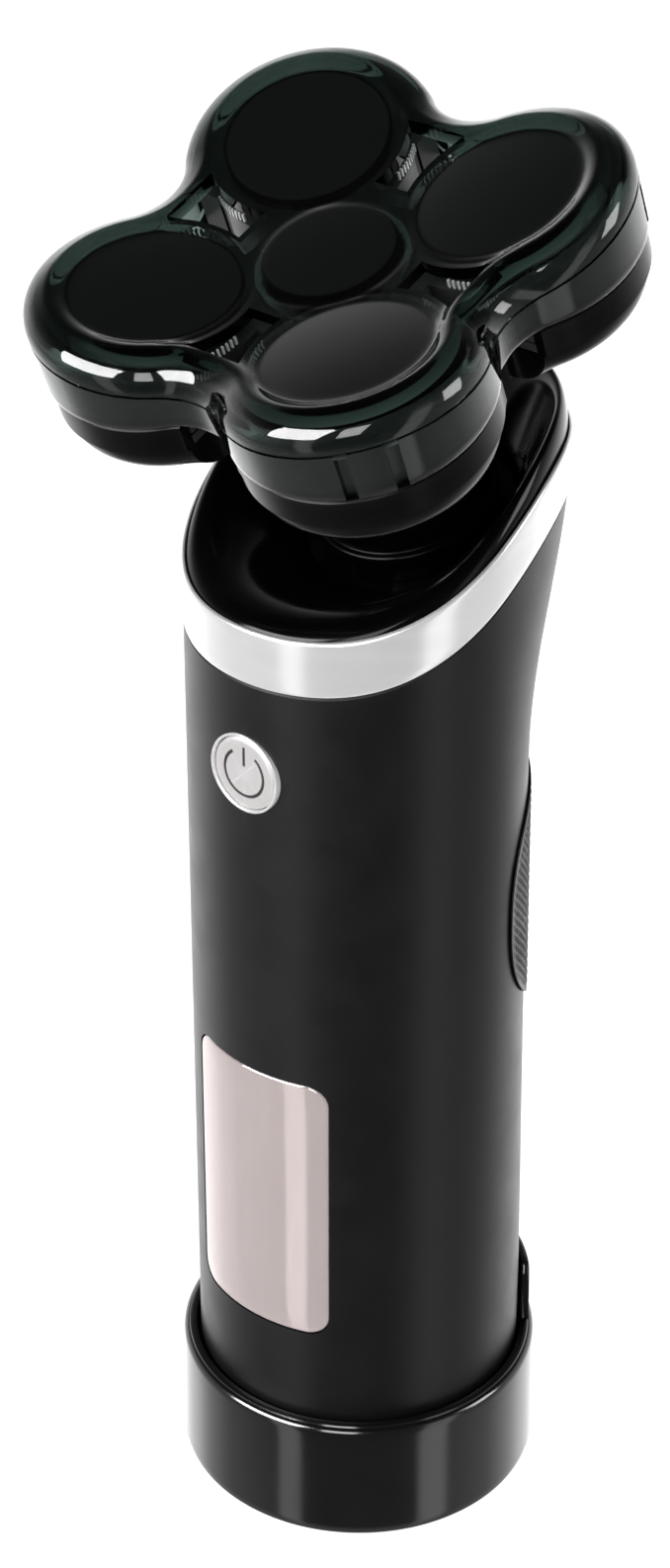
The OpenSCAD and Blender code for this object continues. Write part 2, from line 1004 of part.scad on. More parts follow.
// Outer gear i in mesh with the sun gear
module outer_gear(i) {
    sun_phase = lobe_angle(i) * sun_teeth / 360;
    mesh_turn = 180 + (sun_phase - floor(sun_phase) + 0.5) * 360 / outer_teeth;
    ball_z = -dish_r * cos(lobe_lean) + dish_r - drive_ball_depth * cos(lobe_lean);
    color("#d8d5cc")
        head_space()
            rotate(lobe_angle(i))
                translate([gear_pitch, 0, 0]) {
                    translate([0, 0, gear_low])
                        rotate(mesh_turn)
                            gear(outer_teeth, gear_top - gear_low);
                    translate([0, 0, pocket_low - 1])
                        cylinder(r = 1.5, h = gear_low - pocket_low + 1 + eps);
                    drive_spindle(ball_z);
                }
}

// ---- Cutters ----

module cutter_frame() {
    color("#2b2d30")
        head_space()
            difference() {
                translate([0, 0, frame_low])
                    linear_extrude(14)
                        lobed_outline(frame_r);
                translate([0, 0, dish_r])
                    sphere(r = dish_r + frame_top_drop, $fn = 200);
                for (i = [0 : 4])
                    local_cutter(i) {
                        translate([0, 0, -14])
                            cylinder(r = foil_bore_r, h = 14);
                        translate([0, 0, -14])
                            cylinder(r = flange_bore_r, h = 14 + foil_low + flange_h + 0.2);
                    }
                head_windows();
                waist_openings();
            }
}

module foil(i) {
    color(steel)
        cutter_space(i)
            difference() {
                union() {
                    translate([0, 0, foil_low])
                        cylinder(r = foil_r, h = foil_top - foil_low);
                    translate([0, 0, foil_low])
                        cylinder(r = flange_r, h = flange_h);
                }
                translate([0, 0, foil_low - eps])
                    cylinder(r = foil_r - 0.7, h = foil_top - foil_t - foil_low + eps);
                for (k = [0 : foil_slots - 1])
                    rotate(360 * k / foil_slots)
                        translate([5, -0.2, foil_top - 1])
                            cube([3.6, 0.4, 2]);
            }
}

module blade(i) {
    hub_low = -7.9;
    cone_top = -6.4;
    color(steel)
        cutter_space(i)
            difference() {
                union() {
                    translate([0, 0, -5.2])
                        cylinder(r = 8.4, h = 0.8);
                    translate([0, 0, hub_low])
                        cylinder(r = 2.8, h = -3.2 - hub_low);
                    for (k = [0 : blade_count - 1])
                        rotate(360 * k / blade_count)
                            translate([5.2, -0.3, -4.5])
                                cube([3, 0.6, 1.35]);
                }
                translate([0, 0, cone_top - eps])
                    cylinder(r = socket_r, h = -3.8 - cone_top + eps);
                translate([0, 0, hub_low - eps])
                    cylinder(r1 = 2.05, r2 = socket_r, h = cone_top - hub_low + eps);
            }
}

// Smoked cap over the cutters, with a low dome over each
module head_cap() {
    slot_w = 1.2;
    slot_turn = 10.5;
    slot_h = 6.5;
    color(smoke)
        head_space()
            difference() {
                union() {
                    difference() {
                        translate([0, 0, skirt_low])
                            linear_extrude(14)
                                lobed_outline(lobe_r);
                        translate([0, 0, dish_r])
                            sphere(r = dish_r, $fn = 200);
                    }
                    for (i = [0 : 4])
                        local_cutter(i)
                            translate([0, 0, -0.6])
                                cylinder(r1 = 10.5, r2 = 8.8, h = 1.6);
                }
                difference() {
                    translate([0, 0, skirt_low - 1])
                        linear_extrude(14)
                            lobed_outline(lobe_r - cap_wall);
                    translate([0, 0, dish_r])
                        sphere(r = dish_r + cap_top_t, $fn = 200);
                }
                head_windows();
                for (i = [1 : 4], s = [-1, 1])
                    rotate(lobe_angle(i))
                        translate([lobe_pitch, 0, 0])
                            rotate(s * slot_turn)
                                translate([lobe_r - 3, -slot_w / 2, skirt_low - 1])
                                    cube([6, slot_w, slot_h + 1]);
            }
}

dock_pad();
dock_shell();
dock_bottom_plate();
dock_board();
dock_inlet();
dock_contacts();
dock_screws();
handle_shell();
handle_bottom_cap();
bottom_seal();
bottom_screws();
handle_contacts();
inner_frame();
battery();
control_board();
display_module();
display_window();
button_switch();
button_bezel();
power_button();
grip_pad();
collar_ring();
top_deck();
neck_post();
motor_can();
motor_magnets();
motor_rotor();
gimbal_ring();
gimbal_pins();
head_hub();
head_housing();
gear_plate();
float_springs();
sun_gear();
for (i = [1 : 4])
    outer_gear(i);
cutter_frame();
for (i = [0 : 4])
    foil(i);
for (i = [0 : 4])
    blade(i);
head_cap();
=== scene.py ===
"""Rotary head shaver in its charging dock: the looks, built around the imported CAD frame."""

import math

import bmesh
import bpy
from mathutils import Matrix, Vector


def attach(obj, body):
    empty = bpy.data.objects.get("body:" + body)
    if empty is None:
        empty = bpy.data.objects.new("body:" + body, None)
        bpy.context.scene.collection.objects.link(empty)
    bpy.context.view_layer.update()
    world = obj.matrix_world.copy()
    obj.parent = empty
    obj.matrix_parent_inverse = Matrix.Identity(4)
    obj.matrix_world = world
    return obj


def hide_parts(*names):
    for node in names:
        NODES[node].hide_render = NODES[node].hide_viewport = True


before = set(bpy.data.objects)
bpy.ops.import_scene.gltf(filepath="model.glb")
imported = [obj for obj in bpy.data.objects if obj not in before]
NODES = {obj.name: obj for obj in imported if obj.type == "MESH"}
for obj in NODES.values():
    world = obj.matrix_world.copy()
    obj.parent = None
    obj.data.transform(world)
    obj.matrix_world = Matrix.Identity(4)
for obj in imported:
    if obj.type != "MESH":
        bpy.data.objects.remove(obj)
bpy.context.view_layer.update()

MM = 0.001
COLUMNS = 224                # points round the handle's section
ANGLES = [360 * j / COLUMNS for j in range(COLUMNS)]

# Handle, in millimetres and degrees; the front is -Y
BODY_R = 22.6
BACK_LINE = (                # (height, depth) along the back
    (8, 22.6), (30, 22.6), (60, 21.6), (85, 20.7), (112, 20.0), (120, 20.4),
    (128, 22.6), (136, 26.0), (144, 29.0), (151, 30.3), (170, 30.6),
)
SHELL_Z = 10.1               # lower end of the shell
SHELL_WALL = 1.8
BAND_Z, BAND_RISE, BAND_H = 132.2, 16.2, 7.6
BAND_Y0, BAND_Y1 = -24, 18   # depths between which the chrome band rises
PANEL_W, PANEL_H, PANEL_Z, PANEL_CORNER = 22.4, 41.2, 54.1, 3
BUTTON_Z, BUTTON_R = 119.3, 5.0
GRIP_Z, GRIP_HALF_H, GRIP_ANGLE = 93.8, 19.7, 80

# Head; its heights are measured along its own axis from the cap's centre
AXIS_Y, PIVOT_Z, HEAD_TILT = 3.5, 158.8, 21.6
CAP_RISE = 26                # from the gimbal's centre to the cap's
LOBE_PITCH, LOBE_R, WAIST_R = 21, 16.29, 9.01
DISH_R = 125                 # of the sphere that the cap's top follows
BOSS_R = 12.6                # round each outer cutter; the windows lie outside it
WINDOW_IN, WINDOW_OUT, WAIST_GAP = 12.2, 21.8, 8
SKIRT_LOW, CAP_WALL, CAP_TOP = -6, 1.5, 1.6
DISC_R, MIDDLE_DISC_R = 10.3, 8.2
HOUSING_TOP, HOUSING_R = -6.4, 15.8

PIVOT = Matrix.Translation((0, AXIS_Y, PIVOT_Z)) @ Matrix.Rotation(math.radians(HEAD_TILT), 4, "X")
HEAD = PIVOT @ Matrix.Translation((0, 0, CAP_RISE))
HALF = LOBE_PITCH / math.sqrt(2)    # x and y of a lobe's centre
WAIST = HALF + math.sqrt((LOBE_R + WAIST_R) ** 2 - HALF ** 2)    # x of a waist circle's centre


# ---- Mesh helpers ----

def make_object(name, points, faces, matrix=None):
    """Object from points in millimetres, in the CAD frame or in the local space of matrix."""
    place = matrix or Matrix.Identity(4)
    mesh = bpy.data.meshes.new(name)
    mesh.from_pydata([(place @ Vector(p)) * MM for p in points], [], faces)
    work = bmesh.new()
    work.from_mesh(mesh)
    bmesh.ops.remove_doubles(work, verts=work.verts, dist=1e-7)
    bmesh.ops.recalc_face_normals(work, faces=work.faces)
    work.to_mesh(mesh)
    work.free()
    obj = bpy.data.objects.new(name, mesh)
    bpy.context.scene.collection.objects.link(obj)
    return obj


def hole(part, matrix=None):
    """Cutter for cut()."""
    return make_object("hole", *part, matrix=matrix)


def smooth(obj, angle=32):
    for face in obj.data.polygons:
        face.use_smooth = True
    obj.data.set_sharp_from_angle(angle=math.radians(angle))


def loft(rings, closed=False):
    """Points and faces of a skin over rings of equal length; an open skin gets a fan at each end."""
    size = len(rings[0])
    points = [p for ring in rings for p in ring]
    faces = []
    for i in range(len(rings) if closed else len(rings) - 1):
        a, b = i * size, (i + 1) % len(rings) * size
        for j in range(size):
            k = (j + 1) % size
            faces.append((a + j, a + k, b + k, b + j))
    if not closed:
        for ring, start in ((rings[0], 0), (rings[-1], (len(rings) - 1) * size)):
            centre = len(points)
            points.append(tuple(sum(p[axis] for p in ring) / size for axis in range(3)))
            faces += [(start + j, start + (j + 1) % size, centre) for j in range(size)]
    return points, faces


def circle(r, z, count=128):
    return [
        (r * math.cos(math.tau * j / count), r * math.sin(math.tau * j / count), z)
        for j in range(count)
    ]


def turned(profile, closed=True, count=128):
    """Solid of revolution about Z from (radius, height) pairs."""
    return loft([circle(r, z, count) for r, z in profile], closed)


def rounded(corners, radius, steps=5):
    """Closed profile of (radius, height) corners, each rounded by radius or its third number."""
    out = []
    for i, corner in enumerate(corners):
        here = Vector(corner[:2])
        back = Vector(corners[i - 1][:2]) - here
        ahead = Vector(corners[(i + 1) % len(corners)][:2]) - here
        own = corner[2] if len(corner) > 2 else radius
        reach = min(own, 0.49 * back.length, 0.49 * ahead.length)
        if reach < 0.02:
            out.append(tuple(here))
            continue
        a = here + back.normalized() * reach
        b = here + ahead.normalized() * reach
        for k in range(steps + 1):
            t = k / steps
            out.append(tuple(a * (1 - t) ** 2 + here * 2 * t * (1 - t) + b * t * t))
    return out


def join_parts(parts):
    """One (points, faces) pair from several."""
    points, faces = [], []
    for more_points, more_faces in parts:
        base = len(points)
        points += more_points
        faces += [tuple(base + v for v in face) for face in more_faces]
    return points, faces


def box_part(low, high):
    (x0, y0, z0), (x1, y1, z1) = low, high
    points = [(x, y, z) for x in (x0, x1) for y in (y0, y1) for z in (z0, z1)]
    faces = [(0, 1, 3, 2), (4, 6, 7, 5), (0, 4, 5, 1), (2, 3, 7, 6), (0, 2, 6, 4), (1, 5, 7, 3)]
    return points, faces


def prism_part(outline, low, high):
    """Prism of a convex or star-shaped (x, y) outline between two heights."""
    return loft([[(x, y, low) for x, y in outline], [(x, y, high) for x, y in outline]])


def moved(part, matrix):
    return [tuple(matrix @ Vector(p)) for p in part[0]], part[1]


def cut(obj, *cutters):
    """Takes each cutter's shape out of obj and removes the cutter."""
    for cutter in cutters:
        step = obj.modifiers.new("cut", "BOOLEAN")
        step.operation = "DIFFERENCE"
        step.solver = "EXACT"
        step.object = cutter
        graph = bpy.context.evaluated_depsgraph_get()
        mesh = bpy.data.meshes.new_from_object(obj.evaluated_get(graph))
        obj.modifiers.clear()
        obj.data = mesh
        bpy.data.objects.remove(cutter)


def piece(obj, body, slot, material, *nodes):
    """Puts a finished piece on its body in place of the CAD nodes it stands for; slot is not used.
    """
    obj.data.materials.clear()
    obj.data.materials.append(material)
    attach(obj, body)
    if nodes:
        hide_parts(*nodes)


# ---- Shapes shared with the CAD ----

def curve(points, x):
    """Smooth curve through (x, y) pairs."""
    def slope(i):
        if i in (0, len(points) - 1):
            return 0
        (x0, y0), (x1, y1) = points[i - 1], points[i + 1]
        return (y1 - y0) / (x1 - x0)

    i = max(k for k in range(len(points) - 1) if k == 0 or points[k][0] <= x)
    span = points[i + 1][0] - points[i][0]
    t = max(0.0, min(1.0, (x - points[i][0]) / span))
    s = t * t * (3 - 2 * t)
    return (
        points[i][1] * (1 - s) + points[i + 1][1] * s
        + span * t * (1 - t) * ((1 - t) * slope(i) - t * slope(i + 1))
    )


def ease(t):
    t = max(0.0, min(1.0, t))
    return t * t * (3 - 2 * t)


def skin(angle, z, inset=0.0):
    """Point on the handle's skin; angle 90 is the back and 270 the front."""
    c, s = math.cos(math.radians(angle)), math.sin(math.radians(angle))
    depth = curve(BACK_LINE, z) if s > 0 else BODY_R
    return ((BODY_R - inset) * c, (depth - inset) * s, z)


def edge_z(angle, lift=0.0, inset=0.0):
    """Height at which the skin meets the chrome band's lower edge, raised by lift."""
    z = BAND_Z
    for _ in range(6):
        y = skin(angle, z, inset)[1]
        z = BAND_Z + BAND_RISE * ease((y - BAND_Y0) / (BAND_Y1 - BAND_Y0)) + lift
    return z


def round_rect(w, h, corner, steps=10):
    out = []
    for sx, sy, start in ((1, 1, 0), (-1, 1, 90), (-1, -1, 180), (1, -1, 270)):
        for k in range(steps + 1):
            a = math.radians(start + 90 * k / steps)
            out.append((
                sx * (w / 2 - corner) + corner * math.cos(a),
                sy * (h / 2 - corner) + corner * math.sin(a),
            ))
    return out


def even(outline, count=160):
    """The same closed outline with its points evenly spaced."""
    total = [0.0]
    for i, p in enumerate(outline):
        total.append(total[-1] + math.dist(p, outline[(i + 1) % len(outline)]))
    out, i = [], 0
    for k in range(count):
        want = total[-1] * k / count
        while total[i + 1] < want:
            i += 1
        a, b = outline[i], outline[(i + 1) % len(outline)]
        t = (want - total[i]) / max(1e-9, total[i + 1] - total[i])
        out.append((a[0] + (b[0] - a[0]) * t, a[1] + (b[1] - a[1]) * t))
    return out


def front_patch(skin_rings, inner_r, centre_z):
    """Curved slab on the handle's front: each ring is (outline, radius); the last is the rim."""
    scales = (0.03, 0.15, 0.3, 0.45, 0.6, 0.75, 0.88)
    face_outline, face_r = skin_rings[0]

    def wrap(outline, r, scale=1.0):
        return [
            (x * scale, -math.sqrt(r * r - (x * scale) ** 2), centre_z + y * scale)
            for x, y in outline
        ]

    rings = [wrap(face_outline, face_r, s) for s in scales]
    rings += [wrap(outline, r) for outline, r in skin_rings]
    rim = skin_rings[-1][0]
    rings.append(wrap(rim, inner_r))
    rings += [wrap(rim, inner_r, s) for s in reversed(scales)]
    return loft(rings)


def outline_radius(angle, r):
    """Distance from the head's axis to its four-lobed outline of lobe radius r; angle in radians."""
    a = abs((angle + math.pi / 4) % (math.pi / 2) - math.pi / 4)
    blend = WAIST_R + LOBE_R - r
    reach = r / (r + blend)
    touch = (HALF + (WAIST - HALF) * reach, HALF * (1 - reach))
    if a < math.atan2(touch[1], touch[0]):
        return WAIST * math.cos(a) - math.sqrt(max(0.0, blend ** 2 - (WAIST * math.sin(a)) ** 2))
    b = math.pi / 4 - a
    return LOBE_PITCH * math.cos(b) + math.sqrt(r ** 2 - (LOBE_PITCH * math.sin(b)) ** 2)


def lobed_ring(r, height, count, scale=1.0):
    """Ring on the outline; height is a number or a function of (x, y)."""
    out = []
    for j in range(count):
        a = math.tau * j / count
        d = outline_radius(a, r) * scale
        x, y = d * math.cos(a), d * math.sin(a)
        out.append((x, y, height(x, y) if callable(height) else height))
    return out


def lobe_angle(i):
    return math.radians(45 + 90 * i)


def lobe_centre(i):
    return LOBE_PITCH * math.cos(lobe_angle(i)), LOBE_PITCH * math.sin(lobe_angle(i))


def four_times(part):
    """The part at each quarter turn about the head's axis."""
    return [moved(part, Matrix.Rotation(math.pi / 2 * i, 4, "Z")) for i in range(4)]


def edge_distance(x, y):
    """Distance from a point inside the cap's outline to the outline."""
    x, y = abs(x), abs(y)
    if y > x:
        x, y = y, x
    dx, dy = x - HALF, y - HALF
    away = math.hypot(dx, dy)
    lobe_half = math.radians(45) + math.atan2(HALF, WAIST - HALF)
    if away < 1e-6:
        return LOBE_R
    turn = math.acos(max(-1.0, min(1.0, (dx + dy) / (away * math.sqrt(2)))))
    if turn <= lobe_half:
        return LOBE_R - away
    return math.hypot(x - WAIST, y) - WAIST_R


def window_parts(low, high):
    """Prisms of the four through windows between the cutters."""
    steps, least = 14, 0.3

    def side(x):
        return HALF - math.sqrt(max(0.0, BOSS_R * BOSS_R - (x - HALF) ** 2))

    xs = [WINDOW_IN + (WINDOW_OUT - WINDOW_IN) * k / steps for k in range(steps + 1)]
    upper = [(x, max(least, side(x))) for x in xs]
    outline = upper + [(x, -y) for x, y in reversed(upper)]
    return four_times(prism_part(outline, low, high))


# ---- Materials ----

def link(tree, out, target):
    tree.links.new(out, target)


def add(tree, kind, **values):
    node = tree.nodes.new(kind)
    for key, value in values.items():
        setattr(node, key, value)
    return node


def ramp_node(tree, source, stops):
    """Colour ramp with (position, grey or colour) stops."""
    ramp = add(tree, "ShaderNodeValToRGB")
    elements = ramp.color_ramp.elements
    for i, (position, value) in enumerate(stops):
        element = elements[i] if i < 2 else elements.new(position)
        element.position = position
        element.color = (*((value,) * 3 if isinstance(value, (int, float)) else value), 1)
    link(tree, source, ramp.inputs[0])
    return ramp.outputs[0]


def material(name, tint, rough, metallic=0.0, specular=0.5, grain=5200, grain_depth=0.02,
             vary=0.12, smudge=0.25, stretch=(1, 1, 1), wear_and_sheen=0.0, wear_sheen_lift=0.03, coat=0.0, clear=0.0,
             grain_kind="noise"):
    """Moulded or machined surface: tint drift, smudged gloss, fine grain, and lighter edges that are
    part rubbing and part painted highlight.

    grain is the grain's scale and grain_depth its height in millimetres; vary and smudge are the
    shares by which tint and gloss drift; wear_and_sheen mixes in a lighter colour on convex edges,
    part rubbing and part painted highlight, and wear_sheen_lift raises that colour.
    """
    drift_scale, smear_scale, wear_sheen_gain = 70, 160, 2.2
    mat = bpy.data.materials.new(name)
    mat.use_nodes = True
    tree = mat.node_tree
    shader = tree.nodes["Principled BSDF"]
    shader.inputs["Metallic"].default_value = metallic
    shader.inputs["Specular IOR Level"].default_value = specular
    shader.inputs["Coat Weight"].default_value = coat
    shader.inputs["Coat Roughness"].default_value = 0.08
    shader.inputs["Transmission Weight"].default_value = clear
    coords = add(tree, "ShaderNodeTexCoord")
    mapping = add(tree, "ShaderNodeMapping")
    mapping.inputs["Scale"].default_value = stretch
    link(tree, coords.outputs["Object"], mapping.inputs["Vector"])

    drift = add(tree, "ShaderNodeTexNoise")
    drift.inputs["Scale"].default_value = drift_scale
    drift.inputs["Detail"].default_value = 4
    link(tree, mapping.outputs[0], drift.inputs["Vector"])
    low = tuple(c * (1 - vary) for c in tint)
    high = tuple(min(1.0, c * (1 + vary)) for c in tint)
    colour = ramp_node(tree, drift.outputs["Fac"], ((0.3, low), (0.7, high)))
    # Lighter colour on convex edges and knurl ridges: part rubbing, part a painted edge highlight
    if wear_and_sheen:
        geometry = add(tree, "ShaderNodeNewGeometry")
        edges = ramp_node(tree, geometry.outputs["Pointiness"], ((0.53, 0), (0.62, wear_and_sheen)))
        mix = add(tree, "ShaderNodeMix", data_type="RGBA")
        link(tree, edges, mix.inputs["Factor"])
        link(tree, colour, mix.inputs["A"])
        mix.inputs["B"].default_value = (*(min(1.0, c * wear_sheen_gain + wear_sheen_lift) for c in tint), 1)
        colour = mix.outputs["Result"]
    link(tree, colour, shader.inputs["Base Color"])

    smear = add(tree, "ShaderNodeTexNoise")
    smear.inputs["Scale"].default_value = smear_scale
    smear.inputs["Detail"].default_value = 5
    link(tree, mapping.outputs[0], smear.inputs["Vector"])
    spread = add(tree, "ShaderNodeMapRange")
    spread.inputs["From Min"].default_value = 0.3
    spread.inputs["From Max"].default_value = 0.7
    spread.inputs["To Min"].default_value = rough * (1 - smudge)
    spread.inputs["To Max"].default_value = min(1.0, rough * (1 + smudge))
    link(tree, smear.outputs["Fac"], spread.inputs["Value"])
    link(tree, spread.outputs["Result"], shader.inputs["Roughness"])

    if grain_kind == "cells":
        fine = add(tree, "ShaderNodeTexVoronoi")
        out = fine.outputs["Distance"]
    else:
        fine = add(tree, "ShaderNodeTexNoise")
        fine.inputs["Detail"].default_value = 3
        out = fine.outputs["Fac"]
    fine.inputs["Scale"].default_value = grain
    link(tree, mapping.outputs[0], fine.inputs["Vector"])
    bump = add(tree, "ShaderNodeBump")
    bump.inputs["Strength"].default_value = 1.0
    bump.inputs["Distance"].default_value = grain_depth * MM
    link(tree, out, bump.inputs["Height"])
    link(tree, bump.outputs[0], shader.inputs["Normal"])
    return mat


def smoked_material():
    """Clear dark plastic, polished but for the black satin discs on its five domes."""
    disc_rough, disc_clear, disc_tint = 0.19, 0.25, (0.006, 0.007, 0.0068, 1)
    edge = 0.3 * MM
    mat = material("smoked_plastic", (0.86, 0.90, 0.88), 0.04, grain=900, grain_depth=0.002,
                   vary=0.04, clear=1.0)
    tree = mat.node_tree
    inside = add(tree, "ShaderNodeVolumeAbsorption")
    inside.inputs["Color"].default_value = (0.29, 0.38, 0.35, 1)
    inside.inputs["Density"].default_value = 1300
    link(tree, inside.outputs["Volume"], tree.nodes["Material Output"].inputs["Volume"])
    shader = tree.nodes["Principled BSDF"]
    coords = add(tree, "ShaderNodeTexCoord")
    local = add(tree, "ShaderNodeMapping", vector_type="TEXTURE")
    local.inputs["Location"].default_value = HEAD.translation * MM
    local.inputs["Rotation"].default_value = HEAD.to_euler()
    link(tree, coords.outputs["Object"], local.inputs["Vector"])
    flat = add(tree, "ShaderNodeVectorMath", operation="MULTIPLY")
    link(tree, local.outputs[0], flat.inputs[0])
    flat.inputs[1].default_value = (1, 1, 0)
    quadrant = add(tree, "ShaderNodeVectorMath", operation="ABSOLUTE")
    link(tree, flat.outputs[0], quadrant.inputs[0])
    nearest = add(tree, "ShaderNodeMath", operation="MINIMUM")
    for slot, (centre, r) in enumerate(((0, MIDDLE_DISC_R), (HALF * MM, DISC_R))):
        away = add(tree, "ShaderNodeVectorMath", operation="DISTANCE")
        link(tree, quadrant.outputs[0], away.inputs[0])
        away.inputs[1].default_value = (centre, centre, 0)
        outside = add(tree, "ShaderNodeMath", operation="SUBTRACT")
        link(tree, away.outputs["Value"], outside.inputs[0])
        outside.inputs[1].default_value = r * MM
        link(tree, outside.outputs[0], nearest.inputs[slot])
    frost = add(tree, "ShaderNodeMapRange")
    link(tree, nearest.outputs[0], frost.inputs["Value"])
    frost.inputs["From Min"].default_value = edge
    frost.inputs["From Max"].default_value = -edge
    disc = frost.outputs["Result"]

    rough = shader.inputs["Roughness"]
    polish = add(tree, "ShaderNodeMix", data_type="FLOAT")
    link(tree, disc, polish.inputs["Factor"])
    link(tree, rough.links[0].from_socket, polish.inputs["A"])
    polish.inputs["B"].default_value = disc_rough
    link(tree, polish.outputs["Result"], rough)

    # Inwards across a disc's edge the colour goes dark first, then the plastic stops being clear
    tint = shader.inputs["Base Color"]
    dark = add(tree, "ShaderNodeMix", data_type="RGBA")
    link(tree, ramp_node(tree, disc, ((0, 0), (0.45, 1))), dark.inputs["Factor"])
    link(tree, tint.links[0].from_socket, dark.inputs["A"])
    dark.inputs["B"].default_value = disc_tint
    link(tree, dark.outputs["Result"], tint)
    clear = add(tree, "ShaderNodeMapRange")
    link(tree, disc, clear.inputs["Value"])
    clear.inputs["From Min"].default_value = 0.5
    clear.inputs["To Min"].default_value = 1.0
    clear.inputs["To Max"].default_value = disc_clear
    link(tree, clear.outputs["Result"], shader.inputs["Transmission Weight"])
    return mat


def board_material():
    """Green circuit board with a grid of paler traces."""
    mat = material("circuit_board", (0.02, 0.13, 0.06), 0.35)
    tree = mat.node_tree
    shader = tree.nodes["Principled BSDF"]
    coords = add(tree, "ShaderNodeTexCoord")
    traces = add(tree, "ShaderNodeTexBrick")
    traces.inputs["Scale"].default_value = 220
    traces.inputs["Mortar Size"].default_value = 0.03
    traces.inputs["Color1"].default_value = (0.015, 0.11, 0.05, 1)
    traces.inputs["Color2"].default_value = (0.02, 0.14, 0.065, 1)
    traces.inputs["Mortar"].default_value = (0.10, 0.30, 0.12, 1)
    link(tree, coords.outputs["Object"], traces.inputs["Vector"])
    link(tree, traces.outputs["Color"], shader.inputs["Base Color"])
    return mat


LOOK = {
    "satin_black": material("satin_black", (0.0026, 0.0026, 0.0028), 0.38, specular=0.34,
                            grain=4200, grain_depth=0.006, wear_and_sheen=0.2, smudge=0.08),
    "dock_black": material("dock_black", (0.005, 0.005, 0.0053), 0.13, specular=0.8, grain=4200,
                           grain_depth=0.003, wear_and_sheen=0.2, smudge=0.2),
    "pod_black": material("pod_black", (0.0012, 0.0012, 0.0013), 0.24, specular=0.07, grain=3000,
                          grain_depth=0.003, wear_and_sheen=0.2, smudge=0.2),
    "gloss_black": material("gloss_black", (0.0016, 0.0016, 0.0018), 0.14, specular=0.15,
                            grain=1500, grain_depth=0.002, wear_and_sheen=0.1),
    "smoked": smoked_material(),
    "chrome": material("chrome", (0.80, 0.79, 0.795), 0.2, metallic=0.45, grain=2600,
                       grain_depth=0.002, vary=0.03, stretch=(1, 1, 8), smudge=0.15),
    "button_metal": material("button_metal", (0.66, 0.64, 0.64), 0.3, metallic=0.4, grain=5200,
                             grain_depth=0.003, vary=0.02, smudge=0.1, wear_and_sheen=0.3),
    "display": material("display_panel", (0.57, 0.49, 0.485), 0.05, metallic=0.3, specular=1.0,
                        grain=1200, grain_depth=0.001, vary=0.03, stretch=(6, 1, 1)),
    "comb": material("comb_metal", (0.75, 0.75, 0.76), 0.3, metallic=0.3, grain=5200),
    "display_black": material("display_module", (0.01, 0.01, 0.014), 0.2, grain=2400),
    "rubber": material("grip_rubber", (0.012, 0.012, 0.014), 0.42, specular=0.6, grain=5200,
                       grain_depth=0.03, smudge=0.15, wear_and_sheen=0.3, wear_sheen_lift=0.02),
    "foot": material("foot_rubber", (0.03, 0.03, 0.032), 0.8, grain=3200, grain_depth=0.04),
    "seal": material("seal_rubber", (0.25, 0.05, 0.03), 0.6, grain=5200),
    "steel": material("steel", (0.52, 0.53, 0.54), 0.24, metallic=1.0, grain=4200,
                      grain_depth=0.006, stretch=(1, 1, 5), vary=0.08),
    "gold": material("contact_gold", (0.83, 0.58, 0.22), 0.22, metallic=1.0, grain=4200),
    "cell": material("cell_wrap", (0.03, 0.16, 0.27), 0.35, grain=900, grain_depth=0.01, coat=0.3),
    "chassis": material("frame_plastic", (0.010, 0.0102, 0.011), 0.4, grain=3600, wear_and_sheen=0.4),
    "acetal": material("gear_acetal", (0.72, 0.70, 0.64), 0.4, grain=3600, wear_and_sheen=0.2),
    "magnet": material("magnet", (0.10, 0.10, 0.11), 0.5, metallic=0.6, grain=3200,
                       grain_kind="cells"),
    "mark": material("power_mark", (0.01, 0.01, 0.011), 0.5, grain=5200),
    "board": board_material(),
}
CAD_LOOK = {
    "dock_pad": "foot", "dock_bottom_plate": "dock_black", "dock_board": "board",
    "dock_inlet": "steel", "dock_contacts": "gold", "dock_screws": "steel",
    "handle_bottom_cap": "satin_black", "bottom_seal": "seal", "bottom_screws": "steel",
    "handle_contacts": "gold", "inner_frame": "chassis", "battery": "cell",
    "control_board": "board", "display_module": "display_black", "button_switch": "steel",
    "motor_can": "steel", "motor_magnets": "magnet", "motor_rotor": "steel",
    "gimbal_ring": "steel", "gimbal_pins": "steel", "gear_plate": "chassis",
    "float_springs": "steel", "sun_gear": "acetal", "cutter_frame": "chassis",
}
CAD_LOOK.update({f"outer_gear_{i}": "acetal" for i in range(1, 5)})
CAD_LOOK.update({f"{kind}_{i}": "steel" for kind in ("foil", "blade") for i in range(1, 6)})
for node, look in CAD_LOOK.items():
    NODES[node].data.materials.clear()
    NODES[node].data.materials.append(LOOK[look])


# ---- Dock ----

